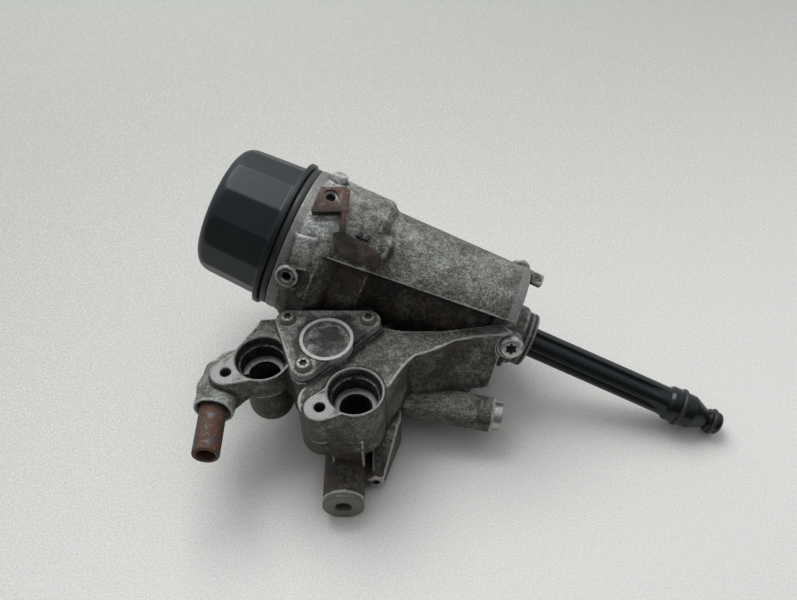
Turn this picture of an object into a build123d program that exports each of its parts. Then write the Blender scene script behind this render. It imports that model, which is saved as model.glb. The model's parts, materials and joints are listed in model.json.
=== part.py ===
from build123d import *
import math
import os

os.makedirs("parts", exist_ok=True)

# Oil filter housing of an engine: a die-cast body with a screw-on cap, a long
# drain rod that is drawn out with the cap, two vertical ports, a valve cover,
# a pressed-in pipe stub and the lugs and tubes that bolt it to the engine.
# Millimetres. +Z is the axis of the two ports, the origin is the centre of
# the oil port in the flat flange that seats on the engine block.

# Bowl axis: it leaves the cap towards +X, turned and tipped down
BOWL_HEADING = -17.53
BOWL_PITCH = 16.4
CAP_CENTRE = Vector(-41.2, 40.7, 81.0)

# Cap, from the middle of its flange
CAP_SEAT = -1.5
CAP_FLATS = 14
CAP_ACROSS_FLATS = 74.0
CAP_HEIGHT = 40.6
CAP_SHOULDER_HEIGHT = 28.0
CAP_CROWN_RADIUS = 27.0
CAP_CROWN_RISE = 1.6
CAP_DRAFT = 3.0
CAP_WALL = 3.0
CAP_FLANGE_RADIUS = 41.4
CAP_FLANGE_HALF = 1.5
CAP_SKIRT_LENGTH = 19.0
CAP_POST_RADIUS = 9.0
CAP_POST_WALL = 2.0
CAP_POST_LENGTH = 2.8

# Seal between the cap flange and the bowl mouth
SEAL_HEIGHT = 4.4
SEAL_RADIUS = 40.0
MOUTH = CAP_SEAT + CAP_FLANGE_HALF + SEAL_HEIGHT

# Bowl
RIM_RADIUS = 40.3
RIM_BAND = 5.5
NECK_RADIUS = 40.8
NECK_END = 24.5
BARREL_RADIUS = 31.8
BARREL_END = 52.0
BARREL_ROUND = 6.0
BOWL_WALL = 2.8
BOWL_FLOOR = 48.0
THREAD_DEPTH = 19.0
MOUTH_BORE_RADIUS = 37.2

# Block behind the bowl floor and the collar that the drain rod passes
ROD_BLOCK_RADIUS = 22.4
ROD_BLOCK_END = 105.0
COLLAR_START = 120.0
COLLAR_RADIUS = 17.0
COLLAR_ROUND = 3.0
COLLAR_END = 140.5
SPIGOT_RADIUS = 15.3
SPIGOT_LENGTH = 6.0
SPIGOT_GROOVE_WIDTH = 1.3
SPIGOT_GROOVE_DEPTH = 1.2
SPIGOT_GROOVE_PITCH = 2.9
ROD_BORE_RADIUS = 10.5

# Hood over the bowl and the return channel that carries it on
HOOD_RADIUS = 40.55
HOOD_END = 49.0
HOOD_SLOPE = 4.0
HOOD_NOSE = (20.0, 29.5, 11.0)
HOOD_NOSE_END = 56.0
LOBE_RADIUS = 36.6
LOBE_END = 130.5
LOBE_RIM = 5.5
LOBE_FACE_ANGLE = 135.0
LOBE_OFFSET = 2.6
LOBE_TILT = 4.5
LOBE_PORT_RADIUS = 7.0
LOBE_PORT_OFFSET = 25.2
LOBE_PORT_ANGLE = -62.0
LOBE_PORT_DEPTH = 44.0
LOBE_BOSS_RADIUS = 5.6
LOBE_BOSS_LENGTH = 12.0
LOBE_LUG = (11.6, 7.4, 4.2)

# Element, core and drain rod
ELEMENT_GAP = 1.5
CROWN_ROOM = 2.0
ELEMENT_RADIUS = min(BARREL_RADIUS - BOWL_WALL, CAP_CROWN_RADIUS + CROWN_ROOM) - ELEMENT_GAP
ELEMENT_START = -31.5
ELEMENT_END = 43.0
PLEATS = 30
CORE_RADIUS = 15.0
PLEAT_GAP = 3.5
CORE_WALL = 2.4
DISC_HEIGHT = 3.0
ROD_RADIUS = 8.5
ROD_HEAD_START = -18.5
ROD_HEAD_HEIGHT = 5.0
ROD_FLUTES = 6
ROD_FLUTE_RADIUS = 2.9
ROD_FLUTE_OFFSET = 9.6
ROD_LENGTH_END = 264.0
ROD_TIP_LENGTH = 8.5
ROD_GLAND_LENGTH = 24.0
ROD_CONE_END = ROD_LENGTH_END - ROD_TIP_LENGTH
ROD_GLAND_START = ROD_CONE_END - ROD_GLAND_LENGTH
ROD_GLAND_RADIUS = 9.9
ROD_NECK_RADIUS = 5.0
ROD_TIP_RADIUS = 6.4

# Bypass valve in the head of the element
BYPASS_HOLE_RADIUS = 6.0
BYPASS_DISC_RADIUS = 8.5
BYPASS_DISC_HEIGHT = 1.6
BYPASS_STEM_RADIUS = 2.4
BYPASS_STEM_LENGTH = 12.0
BYPASS_TRAVEL = 5.0
BYPASS_WIRE = 1.1
BYPASS_COIL_RADIUS = 5.6
BYPASS_TURNS = 4.0

# Ports
PORT_HEIGHT = 64.5
LEFT_PORT = (-50.4, -32.5)
RIGHT_PORT = (-1.7, -53.5)
PORT_RIM_RADIUS = 15.0
PORT_CHAMFER_RADIUS = 13.9
PORT_COUNTER_RADIUS = 13.0
PORT_COUNTER_DEPTH = 4.5
PORT_BORE_RADIUS = 11.8
PORT_LEDGE_DEPTH = 14.0
PORT_HOLE_RADIUS = 8.5
PORT_HEAD_HEIGHT = 16.0
LEFT_TUBE_CENTRE = (-48.8, -32.7)
LEFT_TUBE_RADIUS = 12.3
LEFT_TUBE_BOTTOM = 18.5
LEFT_TUBE_ROUND = 10.5

# Ears beside the ports
LEFT_EAR = (-67.8, -41.8)
RIGHT_EAR = (-18.8, -63.2)
EAR_RADIUS = 7.9
EAR_HOLE_RADIUS = 2.9
EAR_HOLE_DEPTH = 16.0

# Body below the right port
BODY_BOTTOM = 20.0
BODY_ROUND = 11.0
BODY_LEFT = (-19.0, -57.0)
BODY_LEFT_RADIUS = 11.4

# Valve chamber and its triangular cover
COVER_SCREWS = ((-38.4, -10.3), (4.1, -10.6), (-27.9, -41.2))
COVER_CORNER = 6.5
COVER_HEIGHT = 4.2
COVER_GASKET = 0.8
COVER_MARGIN = 0.6
COVER_DISH_CENTRE = (-17.2, -24.1)
COVER_DISH_RADIUS = 12.2
COVER_DISH_DEPTH = 2.6
COVER_RIM_WIDTH = 1.8
COVER_RIM_HEIGHT = 0.8
SEAT_DROP = 1.0
SEAT_HEIGHT = PORT_HEIGHT - SEAT_DROP
SEAT_MARGIN = 0.5
SEAT_DEPTH = 30.0
CHAMBER_RADIUS = 9.0
CHAMBER_BOTTOM = 36.5
CHAMBER_INLET_RADIUS = 6.0
CHAMBER_INLET_BOTTOM = 27.0
STOP_HEIGHT = 3.0
PISTON_LENGTH = 14.0
PISTON_WALL = 1.6
PISTON_TRAVEL = 7.0
PISTON_SPRING_WIRE = 1.4
PISTON_SPRING_TURNS = 5.0
SCREW_HEAD_RADIUS = 4.5
SCREW_HEAD_HEIGHT = 2.9
SCREW_SHANK_RADIUS = 2.5
SCREW_LENGTH = 16.0
SCREW_SOCKET_RADIUS = 2.4

# Left arm and the pipe stub
STUB_X = -74.2
STUB_Z = 50.5
STUB_BOSS_RADIUS = 10.5
STUB_BOSS_FACE = -56.8
STUB_BOSS_LENGTH = 26.0
STUB_RECESS_RADIUS = 9.0
STUB_RECESS_DEPTH = 2.2
STUB_PIPE_RADIUS = 6.95
STUB_PRESS_RADIUS = 7.6
STUB_PRESS_OUT = 0.1
STUB_PIPE_BORE = 4.8
STUB_PIPE_ROUND = 1.2
STUB_PIPE_END = -82.4
STUB_PIPE_DEPTH = 12.0
ARM_BOTTOM = 41.5

# Arm plate and web on the right
ARM_DROP = 1.5
ARM_PLATE_TOP = SEAT_HEIGHT - ARM_DROP
ARM_PLATE_THICKNESS = 5.0
WEB_THICKNESS = 6.0
WEB_BOTTOM = 27.0

# Plug on the collar
PLUG_CENTRE = Vector(80.2, -16.05, 52.5)
PLUG_HEAD_RADIUS = 6.6
PLUG_HEAD_HEIGHT = 3.4
PLUG_WASHER = 1.2
PLUG_SHANK_RADIUS = 4.9
PLUG_SHANK_LENGTH = 8.0
PLUG_BOSS_RADIUS = 8.0

# Bolt tube on the right with its steel sleeve
TUBE_END = Vector(71.9, -38.2, 20.0)
TUBE_HEADING = -9.0
TUBE_DIP = 5.0
TUBE_RADIUS = 9.6
TUBE_LENGTH = 62.0
SLEEVE_RADIUS = 8.2
SLEEVE_BORE = 5.5
SLEEVE_LENGTH = 20.0
SLEEVE_OUT = 4.5
TUBE_THREAD_RADIUS = 5.0
TUBE_THREAD_DEPTH = 46.0

# Foot tube at the front with its flanged bush
FOOT_X = -8.5
FOOT_RADIUS = 11.0
FOOT_FACE = -89.2
FOOT_LENGTH = 44.0
FOOT_HOLE_RADIUS = 4.35
BUSH_FLANGE_RADIUS = 10.9
BUSH_FLANGE = 2.6
BUSH_RADIUS = 6.4
BUSH_LENGTH = 18.0
SIDE_BOSS = Vector(8.0, -73.4, 8.2)
SIDE_BOSS_RADIUS = 4.6
SIDE_BOSS_HOLE = 1.9
SIDE_BOSS_DEPTH = 12.0

# Flange on the engine block
FLANGE_HEIGHT = 8.0
FLANGE_CORNERS = (
    (0.0, 0.0, 12.0),
    (45.0, -16.0, 10.0),
    (76.0, 30.0, 10.0),
    (35.0, 74.0, 9.5),
    (-18.0, 80.0, 9.5),
    (-29.0, 22.0, 9.5),
)
FLANGE_BOLT_RADIUS = 4.3
BLOCK_PORT_RADIUS = 7.0
BLOCK_PORT_HEIGHT = 30.0
RETURN_PORT = (-10.0, 32.0)
RETURN_PORT_RADIUS = 7.0
RETURN_PORT_DEPTH = 16.0
RETURN_PASSAGE_RADIUS = 5.5
RETURN_TOP = 50.0
PILLAR_WALL = 4.5
RIB_THICKNESS = 6.0

# Bracket of bent sheet on the bowl and the clip beside it
SHEET = 1.3
BRACKET_ANGLE = 8.0
BRACKET_LEVEL = 43.2
BRACKET_HOLE = (16.6, 4.4)
BRACKET_HOLE_RADIUS = 3.6
BRACKET_THREAD_RADIUS = 2.6
BRACKET_LEG = 3.5
FLAP_ANGLE = 31.0
FLAP_LEVEL = 42.6
CLIP_START = 36.5
CLIP_LENGTH = 7.0
CLIP_ANGLE = 19.5
CLIP_WIDTH = 3.4
CLIP_RADIUS = 42.6

# Clearances and fits
RUNNING_GAP = 0.05
SLIDE_GAP = 0.3
CUT = 1.0

BASE = (Align.CENTER, Align.CENTER, Align.MIN)
TOP = (Align.CENTER, Align.CENTER, Align.MAX)


def direction(heading, dip):
    """Unit vector at a heading from +X, dipping below the horizontal."""
    turn = math.radians(heading)
    fall = math.radians(dip)
    level = math.cos(fall)
    return Vector(level * math.cos(turn), level * math.sin(turn), -math.sin(fall))


AXIS = direction(BOWL_HEADING, BOWL_PITCH)
UP = (Vector(0, 0, 1) - AXIS * AXIS.Z).normalized()
SIDE = AXIS.cross(UP)
BOWL = Plane(origin=CAP_CENTRE, x_dir=UP, z_dir=AXIS)


def radial(angle):
    """Unit vector out of the bowl axis, 0 up and 90 towards the ports."""
    turn = math.radians(angle)
    return UP * math.cos(turn) + SIDE * math.sin(turn)


def on_bowl(station, angle=0.0, radius=0.0):
    """Point at a station along the bowl axis, an angle and a radius."""
    return CAP_CENTRE + AXIS * station + radial(angle) * radius


def bowl_rod(radius, start, end):
    """Cylinder on the bowl axis between two stations."""
    return BOWL * Pos(0, 0, start) * Cylinder(radius, end - start, align=BASE)


def turned(points):
    """Solid of revolution on the bowl axis from (radius, station) points."""
    outline = Plane.XZ * make_face(Polyline(*points, close=True))
    return BOWL * revolve(outline, Axis.Z)


def rod_between(start, end, radius):
    """Round bar from one point to another."""
    run = end - start
    return Plane(origin=start, z_dir=run) * Cylinder(radius, run.length, align=BASE)


def upright(centre, radius, bottom, top):
    """Vertical cylinder between two heights."""
    return Pos(centre[0], centre[1], bottom) * Cylinder(radius, top - bottom, align=BASE)


def column(points, bottom, top):
    """Vertical prism over a plan outline."""
    outline = make_face(Polyline(*points, close=True))
    return Pos(0, 0, bottom) * extrude(outline, top - bottom)


def hull_plan(circles):
    """Plan outline round a set of (x, y, radius) circles, their seams inside."""
    middle_x = sum(x for x, _, _ in circles) / len(circles)
    middle_y = sum(y for _, y, _ in circles) / len(circles)
    edges = []
    for x, y, radius in circles:
        inward = math.degrees(math.atan2(middle_y - y, middle_x - x))
        edges += (Pos(x, y) * Rot(0, 0, inward) * Circle(radius)).edges()
    return make_hull(edges)


def rounded_bottom(solid, radius):
    """Solid with its lowest edges rounded."""
    return fillet(solid.edges().group_by(Axis.Z)[0], radius)


def torx(radius, depth):
    """Six-lobed socket, standing on z = 0."""
    lobe = radius * 0.36
    socket = Cylinder(radius * 0.72, depth, align=BASE)
    for index in range(6):
        turn = math.radians(60 * index)
        reach = radius - lobe
        socket += Pos(reach * math.cos(turn), reach * math.sin(turn), 0) * Cylinder(lobe, depth, align=BASE)
    return socket


def coil(wire, radius, height, turns):
    """Compression spring standing on z = 0, its wire inside the height."""
    rise = height - wire
    path = Pos(0, 0, wire / 2) * Helix(rise / turns, rise, radius)
    section = Plane(origin=path @ 0, z_dir=path % 0) * Circle(wire / 2)
    return sweep(section, path=path, is_frenet=True)


# Bowl, rod block, collar and spigot


def bowl_outside():
    """Outer form of the bowl from its mouth to the block behind the floor."""
    mouth = MOUTH + RUNNING_GAP
    band_end = mouth + RIM_BAND
    step = NECK_RADIUS - BARREL_RADIUS
    points = [
        (0, mouth),
        (RIM_RADIUS, mouth),
        (RIM_RADIUS, band_end),
        (NECK_RADIUS, band_end + 0.6),
        (NECK_RADIUS, NECK_END),
        (BARREL_RADIUS, NECK_END + step),
        (BARREL_RADIUS, BARREL_END - BARREL_ROUND),
        (BARREL_RADIUS - 0.3 * BARREL_ROUND, BARREL_END - 0.3 * BARREL_ROUND),
        (BARREL_RADIUS - BARREL_ROUND, BARREL_END),
        (ROD_BLOCK_RADIUS, BARREL_END + 3),
        (ROD_BLOCK_RADIUS, ROD_BLOCK_END),
        (COLLAR_RADIUS - COLLAR_ROUND, COLLAR_START + COLLAR_ROUND),
        (0, COLLAR_START + COLLAR_ROUND),
    ]
    return turned(points)


def bowl_inside():
    """Room inside the bowl: thread bore, barrel and the bore of the rod."""
    mouth = MOUTH
    inner = BARREL_RADIUS - BOWL_WALL
    step = mouth + THREAD_DEPTH
    points = [
        (0, mouth - CUT),
        (MOUTH_BORE_RADIUS, mouth - CUT),
        (MOUTH_BORE_RADIUS, step),
        (inner, step + MOUTH_BORE_RADIUS - inner),
        (inner, BOWL_FLOOR - 3),
        (inner - 3, BOWL_FLOOR),
        (ROD_BORE_RADIUS, BOWL_FLOOR),
        (ROD_BORE_RADIUS, COLLAR_END + SPIGOT_LENGTH + CUT),
        (0, COLLAR_END + SPIGOT_LENGTH + CUT),
    ]
    return turned(points)


def spigot():
    """Collar and spigot that the drain rod leaves by."""
    end = COLLAR_END + SPIGOT_LENGTH
    points = [
        (0, COLLAR_START),
        (COLLAR_RADIUS - COLLAR_ROUND, COLLAR_START),
        (COLLAR_RADIUS, COLLAR_START + COLLAR_ROUND),
        (COLLAR_RADIUS, COLLAR_END - 1),
        (COLLAR_RADIUS - 1, COLLAR_END),
        (SPIGOT_RADIUS, COLLAR_END),
        (SPIGOT_RADIUS, end - 0.6),
        (SPIGOT_RADIUS - 0.6, end),
        (0, end),
    ]
    return turned(points)


def spigot_grooves():
    """Stations at which the two spigot grooves start."""
    first = COLLAR_END + 0.6
    return (first, first + SPIGOT_GROOVE_PITCH)


def spigot_cuts():
    """The two grooves of the spigot."""
    cuts = []
    for start in spigot_grooves():
        stop = start + SPIGOT_GROOVE_WIDTH
        depth = SPIGOT_RADIUS - SPIGOT_GROOVE_DEPTH
        cuts.append(bowl_rod(SPIGOT_RADIUS + CUT, start, stop) - bowl_rod(depth, start - CUT, stop + CUT))
    return cuts


def hood():
    """Hood over the bowl that runs on as the return channel, cut by a plane."""
    start = MOUTH + RIM_BAND + CUT
    points = [
        (0, start),
        (HOOD_RADIUS, start),
        (HOOD_RADIUS, HOOD_END - HOOD_SLOPE / 2),
        (LOBE_RADIUS, HOOD_END + HOOD_SLOPE / 2),
        (LOBE_RADIUS, LOBE_END - LOBE_RIM),
        (LOBE_RADIUS + 0.5, LOBE_END - LOBE_RIM),
        (LOBE_RADIUS + 0.5, LOBE_END),
        (0, LOBE_END),
    ]
    solid = turned(points)
    angle, reach, radius = HOOD_NOSE
    nose = rod_between(on_bowl(start, angle, reach), on_bowl(HOOD_NOSE_END, angle, reach), radius)
    solid += fillet(nose.edges().group_by(Axis(CAP_CENTRE, AXIS))[-1], 3.5)
    size = 3 * HOOD_RADIUS
    face = Plane(
        origin=on_bowl(BARREL_END + 8, LOBE_FACE_ANGLE, -LOBE_OFFSET),
        x_dir=AXIS,
        z_dir=radial(LOBE_FACE_ANGLE),
    )
    cutter = face * Rot(0, LOBE_TILT, 0) * Box(4 * size, size, size, align=BASE)
    return solid - cutter


def lobe_end_features():
    """Screw boss and lug at the end of the return channel."""
    view = radial(39.0)
    seat = on_bowl(LOBE_END - 4.7, -48.0, LOBE_RADIUS - 2.2)
    boss = Plane(origin=seat - view * LOBE_BOSS_LENGTH, z_dir=view) * Cylinder(
        LOBE_BOSS_RADIUS, LOBE_BOSS_LENGTH + 3, align=BASE
    )
    boss = fillet(boss.edges().group_by(Axis(seat, view))[-1], 1.6)
    length, width, thick = LOBE_LUG
    place = Plane(
        origin=on_bowl(LOBE_END - 3.5, -31.0, LOBE_RADIUS - 2.6),
        x_dir=AXIS,
        z_dir=radial(10.0),
    )
    lug = place * Box(length, width, thick, align=(Align.MIN, Align.CENTER, Align.CENTER))
    tip = lug.edges().group_by(Axis(seat, AXIS))[-1]
    lug = fillet(tip, 1.0)
    return boss + lug


# Ports, ears and the body below them


def port_head(centre):
    """Outer cylinder of a port."""
    return upright(centre, PORT_RIM_RADIUS, PORT_HEIGHT - PORT_HEAD_HEIGHT, PORT_HEIGHT)


def port_bore(centre, depth):
    """Chamfered counterbore, bore, ledge and hole of a port."""
    top = PORT_HEIGHT
    counter = top - PORT_COUNTER_DEPTH
    ledge = top - PORT_LEDGE_DEPTH
    points = [
        (0, top + CUT),
        (PORT_CHAMFER_RADIUS + CUT, top + CUT),
        (PORT_CHAMFER_RADIUS, top),
        (PORT_COUNTER_RADIUS, counter),
        (PORT_BORE_RADIUS, counter - 1),
        (PORT_BORE_RADIUS, ledge),
        (PORT_HOLE_RADIUS, ledge),
        (PORT_HOLE_RADIUS, top - depth),
        (0, top - depth),
    ]
    outline = Plane.XZ * make_face(Polyline(*points, close=True))
    return Pos(centre[0], centre[1], 0) * revolve(outline, Axis.Z)


def ears():
    """Ear beside each port, joined to its rim by a tangent outline."""
    left = hull_plan([(*LEFT_EAR, EAR_RADIUS), (*LEFT_PORT, PORT_RIM_RADIUS - 2)])
    right = hull_plan([(*RIGHT_EAR, EAR_RADIUS), (*RIGHT_PORT, PORT_RIM_RADIUS - 4)])
    left_ear = Pos(0, 0, PORT_HEIGHT - 14) * extrude(left, 14)
    right_ear = Pos(0, 0, PORT_HEIGHT - 22) * extrude(right, 22)
    return left_ear + right_ear


def left_arm():
    """Arm from the left port out to the boss of the pipe stub."""
    arm = column(
        [
            (-49.1, -17.7),
            (-62.9, -20.1),
            (-72.3, -23.1),
            (-78.7, -31.4),
            (-83.7, -44.3),
            (-83.2, -50.2),
            (-65.4, -50.2),
            (-59.0, -43.3),
        ],
        ARM_BOTTOM,
        STUB_Z + 9.2,
    )
    arm = fillet(arm.edges().filter_by(Axis.Z).sort_by(Axis.X)[:4], 4)
    arm = chamfer(arm.edges().group_by(Axis.Z)[-1], 3)
    start = STUB_BOSS_FACE + STUB_BOSS_LENGTH
    boss = rod_between(
        Vector(STUB_X + 3, start, STUB_Z), Vector(STUB_X, STUB_BOSS_FACE, STUB_Z), STUB_BOSS_RADIUS
    )
    return arm + boss


def left_tube():
    """Blind tube below the left port."""
    tube = upright(LEFT_TUBE_CENTRE, LEFT_TUBE_RADIUS, LEFT_TUBE_BOTTOM, PORT_HEIGHT - 8)
    return rounded_bottom(tube, LEFT_TUBE_ROUND)


def right_body():
    """Body below the right port, rounded underneath."""
    outline = hull_plan([(*BODY_LEFT, BODY_LEFT_RADIUS), (*RIGHT_PORT, PORT_RIM_RADIUS)])
    body = Pos(0, 0, BODY_BOTTOM) * extrude(outline, PORT_HEIGHT - 2 - BODY_BOTTOM)
    body = rounded_bottom(body, BODY_ROUND)
    corner = column(
        [(-20, -34), (-20, -50), (13, -51.4), (16, -47.9), (24.5, -33), (27.9, -23.7), (10, -11)],
        BODY_BOTTOM + 1.6,
        ARM_PLATE_TOP,
    )
    corner = rounded_bottom(corner, 5)
    pad = column([(-14.4, -58), (-14.4, -69.2), (2.4, -69.2), (2.4, -58)], 14, 43.6)
    pad = fillet(pad.edges().group_by(Axis.Z)[-1], 3)
    neck = column([(-14.4, -44), (-14.4, -62), (2.4, -62), (2.4, -44)], 14, BODY_BOTTOM + 12)
    return body + corner + pad + neck


def valve_seat():
    """Column below the triangular cover."""
    circles = [(x, y, COVER_CORNER + SEAT_MARGIN) for x, y in COVER_SCREWS]
    bottom = SEAT_HEIGHT - SEAT_DEPTH
    seat = Pos(0, 0, bottom) * extrude(hull_plan(circles), SEAT_DEPTH)
    well = upright(COVER_DISH_CENTRE, CHAMBER_RADIUS + 4.5, CHAMBER_INLET_BOTTOM - 5, SEAT_HEIGHT)
    well = rounded_bottom(well, 6)
    return seat + well


def port_deck():
    """Deck that joins the left port, the seat and the bowl."""
    deck = column(
        [(-59, -15.7), (-53.5, -6.4), (-45.2, -6), (-34, 3), (6, 3), (8, -11), (-20, -45), (-36, -41)],
        42,
        ARM_PLATE_TOP,
    )
    left = column(
        [(-61.9, -21.6), (-56, -11.7), (-53.5, -6.4), (-40, -6), (-40, -33), (-52, -33)],
        46,
        PORT_HEIGHT,
    )
    return deck + left


# Right arm, web, bolt tube, plug boss


def right_arm():
    """Flat arm from the ports to the collar, with its sloping web."""
    top = ARM_PLATE_TOP
    plate = column(
        [
            (5, -11),
            (10.1, -9.7),
            (23.5, -13),
            (41.9, -13),
            (75.7, -7.7),
            (81.6, -13.6),
            (73.7, -15.8),
            (61.8, -17),
            (49.8, -19.5),
            (39.9, -25),
            (34.4, -27.5),
            (28.9, -29.2),
            (25, -33.5),
            (14, -48.4),
            (0, -43),
        ],
        top - ARM_PLATE_THICKNESS,
        top,
    )
    top_line = [(24.8, -32), (29.4, -29), (39.9, -24.8), (49.8, -19.4), (61.8, -16.9), (77.7, -14.7)]
    back_line = [(x, y + WEB_THICKNESS) for x, y in reversed(top_line)]
    upper = make_face(Polyline(*top_line, *back_line, close=True))
    low_line = [(22, -31.5), (30, -34), (40, -32.2), (50, -28.4), (60, -26.5), (70, -25)]
    low_back = [(x, y + WEB_THICKNESS) for x, y in reversed(low_line)]
    lower = make_face(Polyline(*low_line, *low_back, close=True))
    web = loft([Pos(0, 0, top - 1) * upper, Pos(0, 0, WEB_BOTTOM) * lower])
    return plate + web


def collar_block():
    """Block round the collar on the arm side, with the boss of the plug."""
    boss = rod_between(PLUG_CENTRE - plug_aim() * 14, PLUG_CENTRE, PLUG_BOSS_RADIUS)
    boss -= bowl_rod(3 * COLLAR_RADIUS, COLLAR_END - CUT, COLLAR_END + COLLAR_RADIUS)
    cheek = BOWL * Pos(0, 0, COLLAR_START + 1) * Rot(0, 0, 90) * Box(
        19.5, 22, COLLAR_END - COLLAR_START - 4, align=(Align.MIN, Align.CENTER, Align.MIN)
    )
    cheek = fillet(cheek.edges().filter_by(Axis(CAP_CENTRE, AXIS)), 5)
    return boss + cheek


def plug_aim():
    """Direction out of the collar towards the plug head."""
    return (PLUG_CENTRE - on_bowl(COLLAR_END - 7.5)).normalized()


def bolt_tube():
    """Long boss for the bolt that enters from the right."""
    run = direction(TUBE_HEADING, TUBE_DIP)
    start = TUBE_END - run * TUBE_LENGTH
    return rod_between(start, TUBE_END, TUBE_RADIUS)


def foot():
    """Foot tube, its gusset and the small side boss."""
    centre_z = FOOT_RADIUS
    face = FOOT_FACE + BUSH_FLANGE
    tube = rod_between(
        Vector(FOOT_X, face + FOOT_LENGTH, centre_z), Vector(FOOT_X, face, centre_z), FOOT_RADIUS
    )
    gusset = column(
        [(-12, -40), (-12, -74), (3, -74), (12.6, -72), (21.5, -46), (22, -30)],
        4.5,
        12.0,
    )
    slope = make_face(Polyline((-36, 4.5), (-72, 4.5), (-72, 11), (-50, 28), (-36, 28), close=True))
    rib = Plane.YZ * extrude(slope, 22)
    rib = rib & column([(6, -36), (6, -72), (12.6, -71.8), (21.5, -46), (21.5, -36)], 0, 40)
    boss = rod_between(
        SIDE_BOSS + Vector(0, SIDE_BOSS_DEPTH + 4, 0), SIDE_BOSS, SIDE_BOSS_RADIUS
    )
    return tube + gusset + rib + boss


# Hidden side: flange on the block, pillars and ribs


def block_side():
    """Flat flange, port pillars, bolt ears and ribs up to the bowl."""
    flange = extrude(hull_plan(FLANGE_CORNERS), FLANGE_HEIGHT)
    flange = chamfer(flange.edges().group_by(Axis.Z)[-1], 1.5)
    port = upright((0, 0), BLOCK_PORT_RADIUS + PILLAR_WALL, 0, 46)
    back = upright(RETURN_PORT, RETURN_PORT_RADIUS + PILLAR_WALL, 0, RETURN_TOP)
    solid = flange + port + back
    spine_run = 108.0
    spine = Plane(origin=Vector(CAP_CENTRE.X + 6, CAP_CENTRE.Y - 2, 0), x_dir=(AXIS.X, AXIS.Y, 0), z_dir=(0, 0, 1))
    plate = spine * Box(spine_run, RIB_THICKNESS, 44, align=(Align.MIN, Align.CENTER, Align.MIN))
    tip = spine * Pos(66, 0, 30) * Rot(0, 16.4, 0) * Box(90, 3 * RIB_THICKNESS, 60, align=(Align.MIN, Align.CENTER, Align.MIN))
    solid += plate - tip
    for station, width, gap in ((20.0, 58.0, 30.0), (62.0, 46.0, 20.0)):
        foot_point = on_bowl(station)
        cross = Plane(origin=Vector(foot_point.X, foot_point.Y, 0), x_dir=(AXIS.X, AXIS.Y, 0), z_dir=(0, 0, 1))
        solid += cross * Box(RIB_THICKNESS, width, foot_point.Z - gap, align=BASE)
    dish_x, dish_y = COVER_DISH_CENTRE
    solid += rod_between(Vector(0, 0, CHAMBER_INLET_BOTTOM + 3), Vector(dish_x, dish_y, CHAMBER_INLET_BOTTOM + 7), 9.5)
    return solid


# Bosses on the bowl


def bowl_bosses():
    """Threaded boss near the mouth, lug under the bracket and a cast bulge."""
    seat = rod_between(on_bowl(12.4, 68.0, 34), on_bowl(12.4, 68.0, 43.6), 6.2)
    rib = rod_between(on_bowl(14.5, 74.0, 37), on_bowl(17.5, 118.0, 38.5), 6.4)
    lug = rod_between(on_bowl(15.2, -27.0, 34), on_bowl(15.2, -27.0, 44.8), 4.6)
    lug = fillet(lug.edges().group_by(Axis(on_bowl(15.2), radial(-27.0)))[-1], 1.5)
    base = bracket_plane() * Pos(*BRACKET_HOLE, 0) * Cylinder(6.0, 9.0, align=TOP)
    bulge = rod_between(on_bowl(14.0, 34.0, 36.4), on_bowl(16.5, 62.0, 36.0), 7.6)
    return seat + rib + lug + base + bulge


def bracket_plane():
    """Plane of the underside of the bracket, its x along the bowl axis."""
    return Plane(origin=on_bowl(0, BRACKET_ANGLE, BRACKET_LEVEL), x_dir=AXIS, z_dir=radial(BRACKET_ANGLE))


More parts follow.
